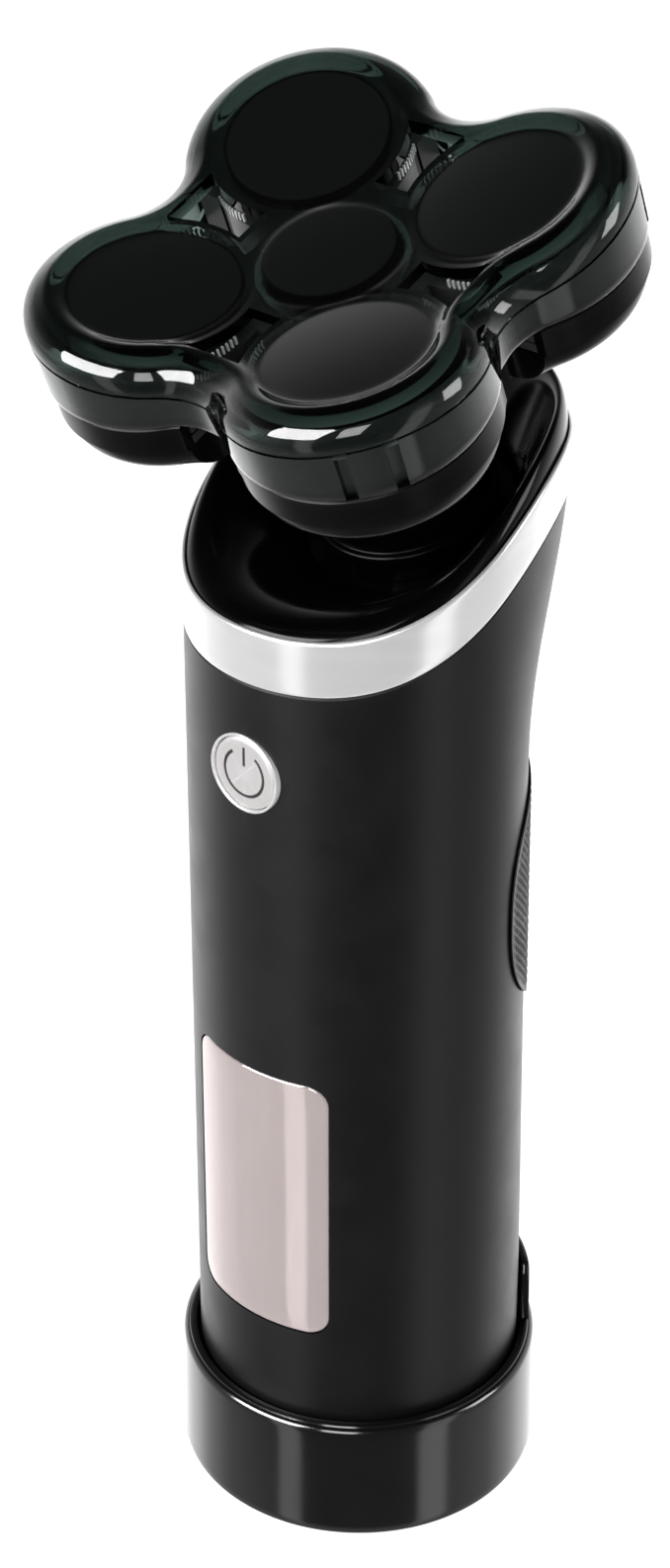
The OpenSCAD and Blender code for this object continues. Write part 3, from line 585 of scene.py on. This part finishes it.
def build_dock():
    """Cup with a soft rim bead, whose wall rises behind the handle."""
    count = 256
    lip_in, lip_out, rim_top = 23.1, 24.3, 19.45
    wall_top, wall_half, wall_ease = 28.0, 52.0, 7.0    # its height, half angle and the ends' angle
    floor_top, floor_under, skirt = 8.0, 6.4, 0.5
    cavity_r, pin_x, pin_hole_r = 23.7, 4.2, 1.3
    columns = []
    for j in range(count):
        a = 360 * j / count
        off = abs((a - 90 + 180) % 360 - 180)
        rise = math.sqrt(1 - (1 - ease((wall_half - off) / wall_ease)) ** 2)
        top = rim_top + (wall_top - rim_top) * rise
        profile = [(r, z) for r, z in (
            (0.4, floor_top), (8, floor_top), (17, floor_top), (lip_in - 0.6, floor_top),
            (lip_in, floor_top + 0.6), (lip_in, 14), (lip_in, 18.4), (lip_in, top - 0.45),
            (lip_in + 0.12, top - 0.14), (lip_in + 0.4, top), (lip_out - 0.4, top),
            (lip_out - 0.1, top - 0.14), (lip_out, top - 0.35), (lip_out, 19.1),
            (24.5, 19.04), (24.8, 18.8), (24.97, 18.4), (25.0, 17.8), (25.05, 15), (25.12, 10),
            (25.2, 6), (25.27, 2), (25.28, 1.2), (25.15, 0.75), (24.8, skirt),
            (cavity_r + 0.1, skirt), (cavity_r, skirt + 0.1), (cavity_r, floor_under),
            (17, floor_under), (8, floor_under), (0.4, floor_under),
        )]
        c, s = math.cos(math.radians(a)), math.sin(math.radians(a))
        columns.append([(r * c, r * s, z) for r, z in profile])
    rings = [[column[i] for column in columns] for i in range(len(columns[0]))]
    dock = make_object("dock_cup", *loft(rings))
    pin_hole = turned([(pin_hole_r, 5), (pin_hole_r, 9)], closed=False, count=32)
    holes = [hole(moved(pin_hole, Matrix.Translation((x, 0, 0)))) for x in (-pin_x, pin_x)]
    inlet = hole(box_part((-4.7, 20, 2.6), (4.7, 30, 6.2)))
    cut(dock, *holes, inlet)
    smooth(dock)
    piece(dock, "dock", "black_plastic", LOOK["dock_black"], "dock_shell")


# ---- Handle ----

def sleeve_rings(heights, inset):
    """Rings on the handle's skin; heights is a list of functions of the angle."""
    return [[skin(a, height(a), inset) for a in ANGLES] for height in heights]


def build_handle():
    """Hollow shell with openings for the display and the button, and the display's panel."""
    rows, inner_rows, chamfer, gap = 72, 12, 0.25, 0.1
    bore_r, bore_from, bore_to = 5.5, -24, -14
    tops = {a: edge_z(a, -gap) for a in ANGLES}

    def level(t):
        return lambda a: SHELL_Z + chamfer + (tops[a] - chamfer - SHELL_Z - chamfer) * t

    outer = sleeve_rings([lambda a: SHELL_Z], chamfer)
    outer += sleeve_rings([level(i / rows) for i in range(rows + 1)], 0)
    outer += sleeve_rings([lambda a: tops[a]], chamfer)
    inner = sleeve_rings([lambda a: tops[a]], SHELL_WALL)
    inner += sleeve_rings([level(i / inner_rows) for i in range(inner_rows, -1, -1)], SHELL_WALL)
    inner += sleeve_rings([lambda a: SHELL_Z], SHELL_WALL)
    shell = make_object("handle_body", *loft(outer + inner, closed=True))
    pocket = even(round_rect(PANEL_W + 0.16, PANEL_H + 0.16, PANEL_CORNER))
    opening = even(round_rect(PANEL_W - 4, PANEL_H - 4, PANEL_CORNER))
    bore = moved(turned([(bore_r, bore_from), (bore_r, bore_to)], closed=False, count=96),
                 Matrix.Translation((0, 0, BUTTON_Z)) @ Matrix.Rotation(-math.pi / 2, 4, "X"))
    cut(
        shell,
        hole(front_patch([(pocket, 24)], BODY_R - 1.3, PANEL_Z)),
        hole(front_patch([(opening, 23)], BODY_R - 4, PANEL_Z)),
        hole(bore),
    )
    smooth(shell)
    piece(shell, "handle", "black_plastic", LOOK["satin_black"], "handle_shell")

    rim = [
        (even(round_rect(PANEL_W - 0.9, PANEL_H - 0.9, PANEL_CORNER - 0.4)), BODY_R),
        (even(round_rect(PANEL_W - 0.5, PANEL_H - 0.5, PANEL_CORNER - 0.2)), BODY_R - 0.03),
        (even(round_rect(PANEL_W - 0.2, PANEL_H - 0.2, PANEL_CORNER - 0.05)), BODY_R - 0.18),
        (even(round_rect(PANEL_W - 0.1, PANEL_H - 0.1, PANEL_CORNER)), BODY_R - 0.4),
    ]
    panel = make_object("display_panel", *front_patch(rim, BODY_R - 1.2, PANEL_Z))
    smooth(panel, 40)
    piece(panel, "handle", "window", LOOK["display"], "display_window")


def build_collar():
    """Chrome band with rounded edges and a narrow top face that falls inwards."""
    section = [(1.9, 0.0), (0.3, 0.0), (0.0, 0.06), (-0.11, 0.2), (-0.15, 0.45)]
    section += [(-0.15, 0.45 + 6.5 * k / 6) for k in range(1, 7)]
    section += [(-0.12, 7.2), (-0.02, 7.4), (0.14, 7.5), (0.32, 7.48), (0.42, 7.3), (0.45, 6.6),
                (1.9, 5.6), (1.9, 3.5)]
    rings = [[skin(a, edge_z(a, lift, inset), inset) for a in ANGLES] for inset, lift in section]
    collar = make_object("collar_band", *loft(rings, closed=True))
    smooth(collar, 40)
    piece(collar, "handle", "chrome", LOOK["chrome"], "collar_ring")


def build_deck():
    """Glossy top of the handle, which swells inside the band and dips to the neck."""
    seat_drop, seat_r, hole_r, steps = 17, 13.6, 10, 40
    inset, edge_thick, thick = 0.5, 0.35, 2.2

    def seat(angle, r):
        a = math.radians(angle)
        return PIVOT @ Vector((r * math.cos(a), r * math.sin(a), -seat_drop))

    def ring(i, lower=False):
        out = []
        drop = edge_thick + (thick - edge_thick) * ease(6 * i / steps) if lower else 0.0
        for angle in ANGLES:
            if i > steps:
                point = seat(angle, hole_r)
            else:
                s = (i / steps) ** 1.5
                edge = Vector(skin(angle, edge_z(angle, BAND_H - 0.6, inset), inset))
                bulge = 5 + 2.6 * math.sin(math.radians(angle))
                point = edge * (1 - s) + seat(angle, seat_r) * s
                point.z += bulge * math.sin(math.pi * s ** 0.6)
            out.append((point.x, point.y, point.z - drop))
        return out

    order = list(range(steps + 2))
    rings = [ring(i) for i in order] + [ring(i, True) for i in reversed(order)]
    deck = make_object("top_dome", *loft(rings, closed=True))
    smooth(deck, 40)
    piece(deck, "handle", "black_plastic", LOOK["gloss_black"], "top_deck")


def ear_parts(low, high):
    """Pair of gimbal ears on the X axis, from a height of low to their round ends at high."""
    inner, outer_r, half_w, steps, bulge = 9.2, 11.05, 3.4, 12, 0.6
    bevel, bevel_z, bevel_scale = 0.25, 0.2, 0.93
    lead = 1 if high > low else -1
    outline = [(-half_w, low)]
    for k in range(steps + 1):
        a = math.pi - math.pi * k / steps
        outline.append((half_w * math.cos(a), high - lead * half_w * bulge
                        + lead * half_w * bulge * math.sin(a)))
    outline.append((half_w, low))

    def face_x(y):
        return math.sqrt(outer_r ** 2 - y * y)

    return [
        loft([
            [(side * inner, y, z) for y, z in outline],
            [(side * (face_x(y) - bevel), y, z) for y, z in outline],
            [(side * face_x(y), y * bevel_scale, z - lead * bevel_z) for y, z in outline],
        ])
        for side in (1, -1)
    ]


def build_neck():
    """Round seat on the handle's top with the gimbal's lower ears."""
    foot = rounded([
        (9.2, -16.9, 0), (12, -16.9, 0.2), (12, -13, 1.9), (11.1, -12.9, 0.3), (11.1, -5.5, 0.6),
        (7.4, -5.5, 0.4), (7.4, -12, 0.1), (9.2, -12, 0.1),
    ], 0.2)
    parts = [turned(foot)] + ear_parts(-6.5, 3)
    neck = make_object("neck_tube", *join_parts(parts), matrix=PIVOT)
    smooth(neck)
    piece(neck, "handle", "black_plastic", LOOK["pod_black"], "neck_post")


def build_button():
    """Bezel, button and the power symbol inlaid in it."""
    # Local +Z points to the front, so a local height of 22 is 22 mm in front of the handle's axis
    facing = Matrix.Translation((0, 0, BUTTON_Z)) @ Matrix.Rotation(math.pi / 2, 4, "X")
    ring = rounded([(5.09, 21.2), (5.45, 21.2), (5.45, 22.78, 0.3), (5.09, 22.78, 0.1)], 0.05)
    bezel = make_object("button_rim", *turned(ring, count=96), matrix=facing)
    smooth(bezel)
    piece(bezel, "handle", "chrome", LOOK["chrome"], "button_bezel")

    profile = [(0.05, 22.65), (2, 22.65), (3.6, 22.64), (4.3, 22.62), (4.7, 22.55), (4.92, 22.4),
               (BUTTON_R, 22.1), (BUTTON_R, 20.8), (5.7, 20.8), (5.7, 20.0), (1.6, 20.0),
               (1.6, 18.3), (0.05, 18.3)]
    cap = turned(profile, closed=False, count=96)
    button = make_object("power_button_cap", *cap, matrix=facing)

    def arc_part(r0, r1, low, high):
        """The symbol's open ring between two radii and two heights."""
        start, sweep, steps = 125, 290, 60
        points, faces = [], []
        for t in range(steps + 1):
            a = math.radians(start + sweep * t / steps)
            for r in (r0, r1):
                for z in (low, high):
                    points.append((r * math.cos(a), r * math.sin(a), z))
        for t in range(steps):
            b = 4 * t
            faces += [(b, b + 1, b + 5, b + 4), (b + 2, b + 6, b + 7, b + 3),
                      (b + 1, b + 3, b + 7, b + 5), (b, b + 4, b + 6, b + 2)]
        faces += [(0, 2, 3, 1), (4 * steps, 4 * steps + 1, 4 * steps + 3, 4 * steps + 2)]
        return points, faces

    sunk, above = 22.45, 23
    grooves = (arc_part(2.95, 3.4, sunk, above), box_part((-0.22, 1, sunk), (0.22, 3.7, above)))
    cut(button, *[hole(groove, facing) for groove in grooves])
    smooth(button)
    piece(button, "power_button", "chrome", LOOK["button_metal"], "power_button")
    low, high = 22.4, 22.52
    inlay = [arc_part(2.97, 3.38, low, high), box_part((-0.2, 1.02, low), (0.2, 3.68, high))]
    mark = make_object("power_mark", *join_parts(inlay), matrix=facing)
    piece(mark, "power_button", "black_plastic", LOOK["mark"])


def build_grip():
    """Soft pad round the back with a diagonal knurl; its outline is a superellipse."""
    rows, columns = 190, 300
    under, base, tooth, pitch, border_w = 0.2, 0.12, 0.36, 1.35, 0.06
    flank, border_h = 1.7, 0.8    # steepness of a tooth's side, height of the plain border
    skin_r, power = 21, 2.6       # mean radius of the back, exponent of the outline

    def half_angle(v):
        """Half the pad's angle at a height of v, from -1 to 1."""
        return GRIP_ANGLE * max(0.03, (1 - abs(v) ** power) ** (1 / power))

    def knurl(u, v):
        angle = half_angle(v) * u
        along = math.radians(angle) * skin_r
        z = GRIP_HALF_H * v
        a = abs((along + z) / pitch % 1 - 0.5) * 2
        b = abs((along - z) / pitch % 1 - 0.5) * 2
        s = (abs(angle / GRIP_ANGLE) ** power + abs(v) ** power) ** (1 / power)
        border = ease((1 - s) / border_w)
        height = min(1.0, flank * min(a, b)) * border + border_h * (1 - border)
        return max(under + 0.02, base + tooth * height)

    def place(u, v, height):
        return skin(90 - half_angle(v) * u, GRIP_Z + GRIP_HALF_H * v, -height)

    us = [2 * k / columns - 1 for k in range(columns + 1)]
    vs = [2 * k / rows - 1 for k in range(rows + 1)]
    points = [place(u, v, knurl(u, v)) for v in vs for u in us]
    wide = columns + 1
    faces = [
        (r * wide + k, r * wide + k + 1, (r + 1) * wide + k + 1, (r + 1) * wide + k)
        for r in range(rows) for k in range(columns)
    ]
    loop = [(k, 0) for k in range(columns)] + [(columns, r) for r in range(rows)]
    loop += [(columns - k, rows) for k in range(columns)] + [(0, rows - r) for r in range(rows)]
    ring = [r * wide + k for k, r in loop]
    for scale in (1, 0.9, 0.7, 0.5, 0.3, 0.1):
        start = len(points)
        points += [place(us[k] * scale, vs[r] * scale, under) for k, r in loop]
        fresh = list(range(start, len(points)))
        faces += [(ring[i - 1], ring[i], fresh[i], fresh[i - 1]) for i in range(len(ring))]
        ring = fresh
    points.append(place(0, 0, under))
    faces += [(ring[i - 1], ring[i], len(points) - 1) for i in range(len(ring))]
    pad = make_object("grip_knurl", points, faces)
    smooth(pad, 50)
    piece(pad, "handle", "grip_rubber", LOOK["rubber"], "grip_pad")


# ---- Head ----

def build_hub():
    """Tube under the head with the gimbal's upper ears, a quarter turn from the lower ones."""
    top = CAP_RISE - 16.1
    tube = rounded([
        (4.6, 5.5), (11.1, 5.5, 0.6), (11.1, top - 1.4), (11.3, top, 0.1), (4.6, top),
    ], 0.1)
    quarter = PIVOT @ Matrix.Rotation(math.pi / 2, 4, "Z")
    parts = [turned(tube)] + ear_parts(6.5, -3)
    hub = make_object("head_neck", *join_parts(parts), matrix=quarter)
    smooth(hub)
    piece(hub, "head_base", "black_plastic", LOOK["pod_black"], "head_hub")


def build_housing():
    """Four bowls under the cutters, open at the waists between them, and the foot they stand on."""
    count, wall, floor_in = 384, 1.2, -10.3
    bore_r, cut_low = 3.2, -18
    levels = [(HOUSING_R - 0.25, HOUSING_TOP), (HOUSING_R, HOUSING_TOP - 0.25), (HOUSING_R, -8.4),
              (HOUSING_R, -10.4), (HOUSING_R - 0.5, -10.6), (HOUSING_R - 0.55, -11.2),
              (15.05, -12.2), (14.6, -13.1), (13.9, -13.95), (13.0, -14.7), (11.9, -15.25),
              (10.6, -15.62), (9.2, -15.78), (8.2, -15.8)]
    outer = [lobed_ring(r, z, count) for r, z in levels]
    bottom = [lobed_ring(8.2, -15.8, count, s) for s in (0.8, 0.5, 0.2, 0.02)]
    inner = [lobed_ring(HOUSING_R - wall, floor_in, count, s) for s in (0.02, 0.4, 0.8)]
    inner += [lobed_ring(HOUSING_R - wall, floor_in, count),
              lobed_ring(HOUSING_R - wall, HOUSING_TOP - 0.25, count),
              lobed_ring(HOUSING_R - wall + 0.2, HOUSING_TOP, count)]
    housing = make_object("head_bowls", *loft(inner + outer + bottom), matrix=HEAD)
    windows = [hole(part, HEAD) for part in window_parts(cut_low, 4)]
    bore = hole(turned([(bore_r, cut_low), (bore_r, 0)], closed=False, count=48), HEAD)
    slab = box_part((WINDOW_OUT - 1.5, -WAIST_GAP / 2, cut_low - 1), (40, WAIST_GAP / 2, 5))
    gaps = hole(join_parts(four_times(slab)), HEAD)
    cut(housing, gaps, *windows, bore)
    smooth(housing)
    piece(housing, "head_base", "black_plastic", LOOK["pod_black"], "head_housing")
    foot = rounded([(3.3, -16), (12.6, -16, 0.3), (12.9, -14.9, 0.2), (3.3, -14.9)], 0.1)
    plinth = make_object("head_plinth", *turned(foot), matrix=HEAD)
    smooth(plinth)
    piece(plinth, "head_base", "black_plastic", LOOK["pod_black"])


def dish(x, y):
    """Height of the sphere that the cap's top follows."""
    return DISH_R - math.sqrt(DISH_R ** 2 - x * x - y * y)


def build_cap():
    """Smoked cap: hollow top with a raised rounded rim, a low dome over each cutter."""
    count, disc_rings = 600, 96
    edge_r, rim_up, rim_at, rim_w = 4.2, 0.5, 4.3, 1.3
    dome_up, dome_edge, dome_reach, crown = 0.7, 1.5, 4, 140
    groove_at, groove_w, groove_d = 1.3, 0.6, 0.08
    slot_turn, slot_half = 10.5, 0.75    # slots in the skirt: angle to each side, half width
    centres = [(0.0, 0.0)] + [lobe_centre(i) for i in range(4)]

    def top(x, y):
        z = dish(x, y)
        for cx, cy in centres:
            dx, dy = x - cx, y - cy
            q = math.hypot(dx, dy)
            far = math.hypot(cx, cy)
            beyond = q - (DISC_R if far else MIDDLE_DISC_R)
            if beyond > dome_reach:
                continue
            lean = math.tan(math.asin(far / DISH_R))
            along = (dx * cx + dy * cy) / far if far else 0.0
            plane = dish(cx, cy) + lean * along + dome_up - q * q / (2 * crown)
            blend = 1 - ease((beyond + 0.4) / dome_edge)
            z = z * (1 - blend) + plane * blend
            z -= groove_d * math.exp(-(((beyond - groove_at) / groove_w) ** 2))
        d = edge_distance(x, y)
        z += rim_up * math.exp(-(((d - rim_at) / rim_w) ** 2))
        return z

    def rim_ring(d):
        """Ring at distance d inside the outline, on the edge fillet where d is small."""
        drop = edge_r - math.sqrt(max(0.0, edge_r ** 2 - max(0.0, edge_r - d) ** 2))
        return lobed_ring(LOBE_R - d, lambda x, y: top(x, y) - drop, count)

    inside, crease = 4.6, 0.22
    rings = [lobed_ring(LOBE_R - inside, top, count, (k + 0.05) / disc_rings)
             for k in range(disc_rings)]
    rings += [rim_ring(inside)]
    rings += [rim_ring(edge_r * (1 - math.sin(math.radians(a)))) for a in range(0, 91, 5)]
    rings += [lobed_ring(LOBE_R - crease, lambda x, y, t=t: top(x, y) - edge_r - t, count)
              for t in (0.08, 0.38)]
    rings += [lobed_ring(LOBE_R, lambda x, y, t=t: (top(x, y) - edge_r - 0.5) * (1 - t)
                         + (SKIRT_LOW + 0.35) * t, count) for t in (0.0, 0.35, 0.7, 0.9, 1.0)]
    rings += [lobed_ring(LOBE_R - 0.12, SKIRT_LOW + 0.1, count),
              lobed_ring(LOBE_R - 0.4, SKIRT_LOW, count),
              lobed_ring(LOBE_R - CAP_WALL + 0.3, SKIRT_LOW, count),
              lobed_ring(LOBE_R - CAP_WALL, SKIRT_LOW + 0.3, count)]

    def under(x, y):
        return dish(x, y) - CAP_TOP

    rings += [lobed_ring(LOBE_R - CAP_WALL, lambda x, y, t=t: (under(x, y) - 0.9) * t
                         + (SKIRT_LOW + 0.3) * (1 - t), count) for t in (0.5, 1.0)]
    rings += [lobed_ring(LOBE_R - CAP_WALL - 0.3, lambda x, y: under(x, y) - 0.25, count),
              lobed_ring(LOBE_R - CAP_WALL - 1, under, count)]
    rings += [lobed_ring(LOBE_R - CAP_WALL - 1, under, count, s)
              for s in (0.9, 0.75, 0.6, 0.45, 0.3, 0.15, 0.01)]
    cap = make_object("cutter_cap", *loft(rings), matrix=HEAD)
    windows = [hole(part, HEAD) for part in window_parts(-8, 9)]
    slot = box_part((LOBE_R - 3, -slot_half, SKIRT_LOW - 1), (LOBE_R + 3, slot_half, 0.5))
    slots = []
    for i in range(4):
        for turn in (-slot_turn, slot_turn):
            place = (HEAD @ Matrix.Rotation(lobe_angle(i), 4, "Z")
                     @ Matrix.Translation((LOBE_PITCH, 0, 0))
                     @ Matrix.Rotation(math.radians(turn), 4, "Z"))
            slots.append(moved(slot, place))
    cut(cap, *windows, hole(join_parts(slots)))
    smooth(cap, 38)
    piece(cap, "head_cap", "smoked_plastic", LOOK["smoked"], "head_cap")


def build_combs():
    """Fine ribs on the walls of the windows, beside each cutter."""
    ribs, half_w = 9, 0.14
    first, step = 50, 3    # angle of the first rib from the line to the head's axis, and the pitch
    rib = box_part((BOSS_R - 0.05, -half_w, -1.8), (BOSS_R + 0.22, half_w, -0.7))
    parts = []
    for i in range(4):
        inward = lobe_angle(i) + math.pi
        centre = Matrix.Translation((*lobe_centre(i), 0))
        for side in (-1, 1):
            for k in range(ribs):
                a = inward + side * math.radians(first + step * k)
                parts.append(moved(rib, centre @ Matrix.Rotation(a, 4, "Z")))
    comb = make_object("window_combs", *join_parts(parts), matrix=HEAD)
    piece(comb, "cutter_frame", "steel", LOOK["comb"])


build_dock()
build_handle()
build_collar()
build_deck()
build_neck()
build_button()
build_grip()
build_hub()
build_housing()
build_cap()
build_combs()


# ---- Studio ----

def build_floor():
    """Pale floor, bright enough to meet the white background, and unseen in reflections."""
    size, z = 2.5, -0.00001
    corners = [(-size, -size, z), (size, -size, z), (size, size, z), (-size, size, z)]
    mesh = bpy.data.meshes.new("floor")
    mesh.from_pydata(corners, [], [(0, 1, 2, 3)])
    floor = bpy.data.objects.new("floor", mesh)
    bpy.context.scene.collection.objects.link(floor)
    mat = bpy.data.materials.new("floor_white")
    mat.use_nodes = True
    tree = mat.node_tree
    shader = tree.nodes["Principled BSDF"]
    shader.inputs["Roughness"].default_value = 0.9
    shader.inputs["Specular IOR Level"].default_value = 0.1
    shader.inputs["Emission Color"].default_value = (1, 1, 1, 1)
    shader.inputs["Emission Strength"].default_value = 0.86
    noise = add(tree, "ShaderNodeTexNoise")
    noise.inputs["Scale"].default_value = 40
    tint = ramp_node(tree, noise.outputs["Fac"], ((0.3, 0.80), (0.7, 0.83)))
    link(tree, tint, shader.inputs["Base Color"])
    mesh.materials.append(mat)
    floor.visible_glossy = False


def build_world():
    """White to the camera and through clear plastic; a darker room to all other rays.

    The room has a grey floor, a dark ceiling and walls whose brightness changes with the bearing:
    a strip at the front, a strip at the right, and a broad bright stretch behind and to the left.
    """
    room_gain = 2.2
    world = bpy.data.worlds.new("studio")
    bpy.context.scene.world = world
    world.use_nodes = True
    tree = world.node_tree
    background = tree.nodes["Background"]
    coords = add(tree, "ShaderNodeTexCoord")
    split = add(tree, "ShaderNodeSeparateXYZ")
    link(tree, coords.outputs["Generated"], split.inputs[0])
    bearing = add(tree, "ShaderNodeMath", operation="ARCTAN2")
    link(tree, split.outputs["Y"], bearing.inputs[0])
    link(tree, split.outputs["X"], bearing.inputs[1])
    turn = add(tree, "ShaderNodeMapRange")
    turn.inputs["From Min"].default_value = -math.pi
    turn.inputs["From Max"].default_value = math.pi
    link(tree, bearing.outputs[0], turn.inputs["Value"])
    around = ramp_node(tree, turn.outputs["Result"], [((az + 180) / 360, value) for az, value in (
        (-180, 0.75), (-164, 0.42), (-143, 0.20), (-118, 0.13), (-104, 0.10), (-101, 0.48),
        (-89, 0.48), (-86, 0.05), (-70, 0.03), (-30, 0.03), (-12, 0.05), (-8, 0.52), (7, 0.52),
        (12, 0.14), (44, 0.22), (66, 0.5), (81, 0.75), (130, 0.9), (180, 0.75),
    )])
    height = add(tree, "ShaderNodeMapRange")
    height.inputs["From Min"].default_value = -1
    height.inputs["From Max"].default_value = 1
    link(tree, split.outputs["Z"], height.inputs["Value"])

    def blend_in(weights, under, over):
        """Mixes a grey over the colour under it, by a ramp of the ray's height."""
        mix = add(tree, "ShaderNodeMix", data_type="RGBA")
        link(tree, ramp_node(tree, height.outputs["Result"], weights), mix.inputs["Factor"])
        link(tree, under, mix.inputs["A"])
        mix.inputs["B"].default_value = (over, over, over, 1)
        return mix.outputs["Result"]

    room = blend_in(((0.08, 1), (0.17, 0)), around, 0.2)
    room = blend_in(((0.60, 0), (0.72, 0.75), (0.80, 0.95), (0.87, 0.99)), room, 0.01)
    gain = add(tree, "ShaderNodeMix", data_type="RGBA", blend_type="MULTIPLY")
    gain.inputs["Factor"].default_value = 1
    link(tree, room, gain.inputs["A"])
    gain.inputs["B"].default_value = (room_gain, room_gain, room_gain, 1)

    path = add(tree, "ShaderNodeLightPath")
    seen = add(tree, "ShaderNodeMath", operation="MAXIMUM")
    link(tree, path.outputs["Is Camera Ray"], seen.inputs[0])
    link(tree, path.outputs["Is Transmission Ray"], seen.inputs[1])
    view = add(tree, "ShaderNodeMix", data_type="RGBA")
    link(tree, seen.outputs[0], view.inputs["Factor"])
    link(tree, gain.outputs["Result"], view.inputs["A"])
    view.inputs["B"].default_value = (1, 1, 1, 1)
    link(tree, view.outputs["Result"], background.inputs["Color"])


def build_lights():
    """Two lamps that only light, and three softboxes that only show as highlights."""
    target, lamp_reach, softbox_reach = Vector((0, 0, 0.15)), 0.95, 1.2
    # Bearing (0 is the right side, -90 the front) and height in degrees, size in metres, watts
    for name, bearing, height, size, power, lamp in (
        ("key", -115, 28, (0.6, 0.6), 5.4, True),
        ("fill", -17, 28, (0.6, 0.6), 4.4, True),
        ("softbox_front", -107, 21, (0.95, 0.8), 50.0, False),
        ("softbox_narrow", -61, 18, (0.42, 0.7), 7.0, False),
        ("softbox_side", 30, 18, (0.42, 0.7), 7.0, False),
    ):
        light = bpy.data.lights.new(name, "AREA")
        light.shape = "RECTANGLE"
        light.size, light.size_y = size
        light.energy = power
        obj = bpy.data.objects.new(name, light)
        reach = lamp_reach if lamp else softbox_reach
        turn, rise = math.radians(bearing), math.radians(height)
        obj.location = target + reach * Vector((
            math.cos(rise) * math.cos(turn), math.cos(rise) * math.sin(turn), math.sin(rise)))
        obj.rotation_euler = (target - obj.location).to_track_quat("-Z", "Y").to_euler()
        obj.visible_camera = False
        obj.visible_transmission = False
        obj.visible_glossy = not lamp
        obj.visible_diffuse = lamp
        bpy.context.scene.collection.objects.link(obj)


def build_camera():
    """Camera at bearing 40.6 degrees to the right of the front, looking down 30.6 degrees."""
    bearing, height, distance = math.radians(40.6), math.radians(30.6), 0.4423
    toward = Vector((math.sin(bearing) * math.cos(height), -math.cos(bearing) * math.cos(height),
                     math.sin(height)))
    target = Vector((-0.0026, -0.0022, 0.1076))
    right = Vector((math.cos(bearing), math.sin(bearing), 0))
    up = toward.cross(right)
    data = bpy.data.cameras.new("camera")
    data.lens = 77.95
    data.sensor_width = 36
    data.clip_start = 0.01
    camera = bpy.data.objects.new("camera", data)
    rotation = Matrix((right, up, toward)).transposed().to_4x4()
    camera.matrix_world = Matrix.Translation(target + toward * distance) @ rotation
    bpy.context.scene.collection.objects.link(camera)
    bpy.context.scene.camera = camera
    bpy.context.scene.view_settings.view_transform = "Standard"


build_floor()
build_world()
build_lights()
build_camera()
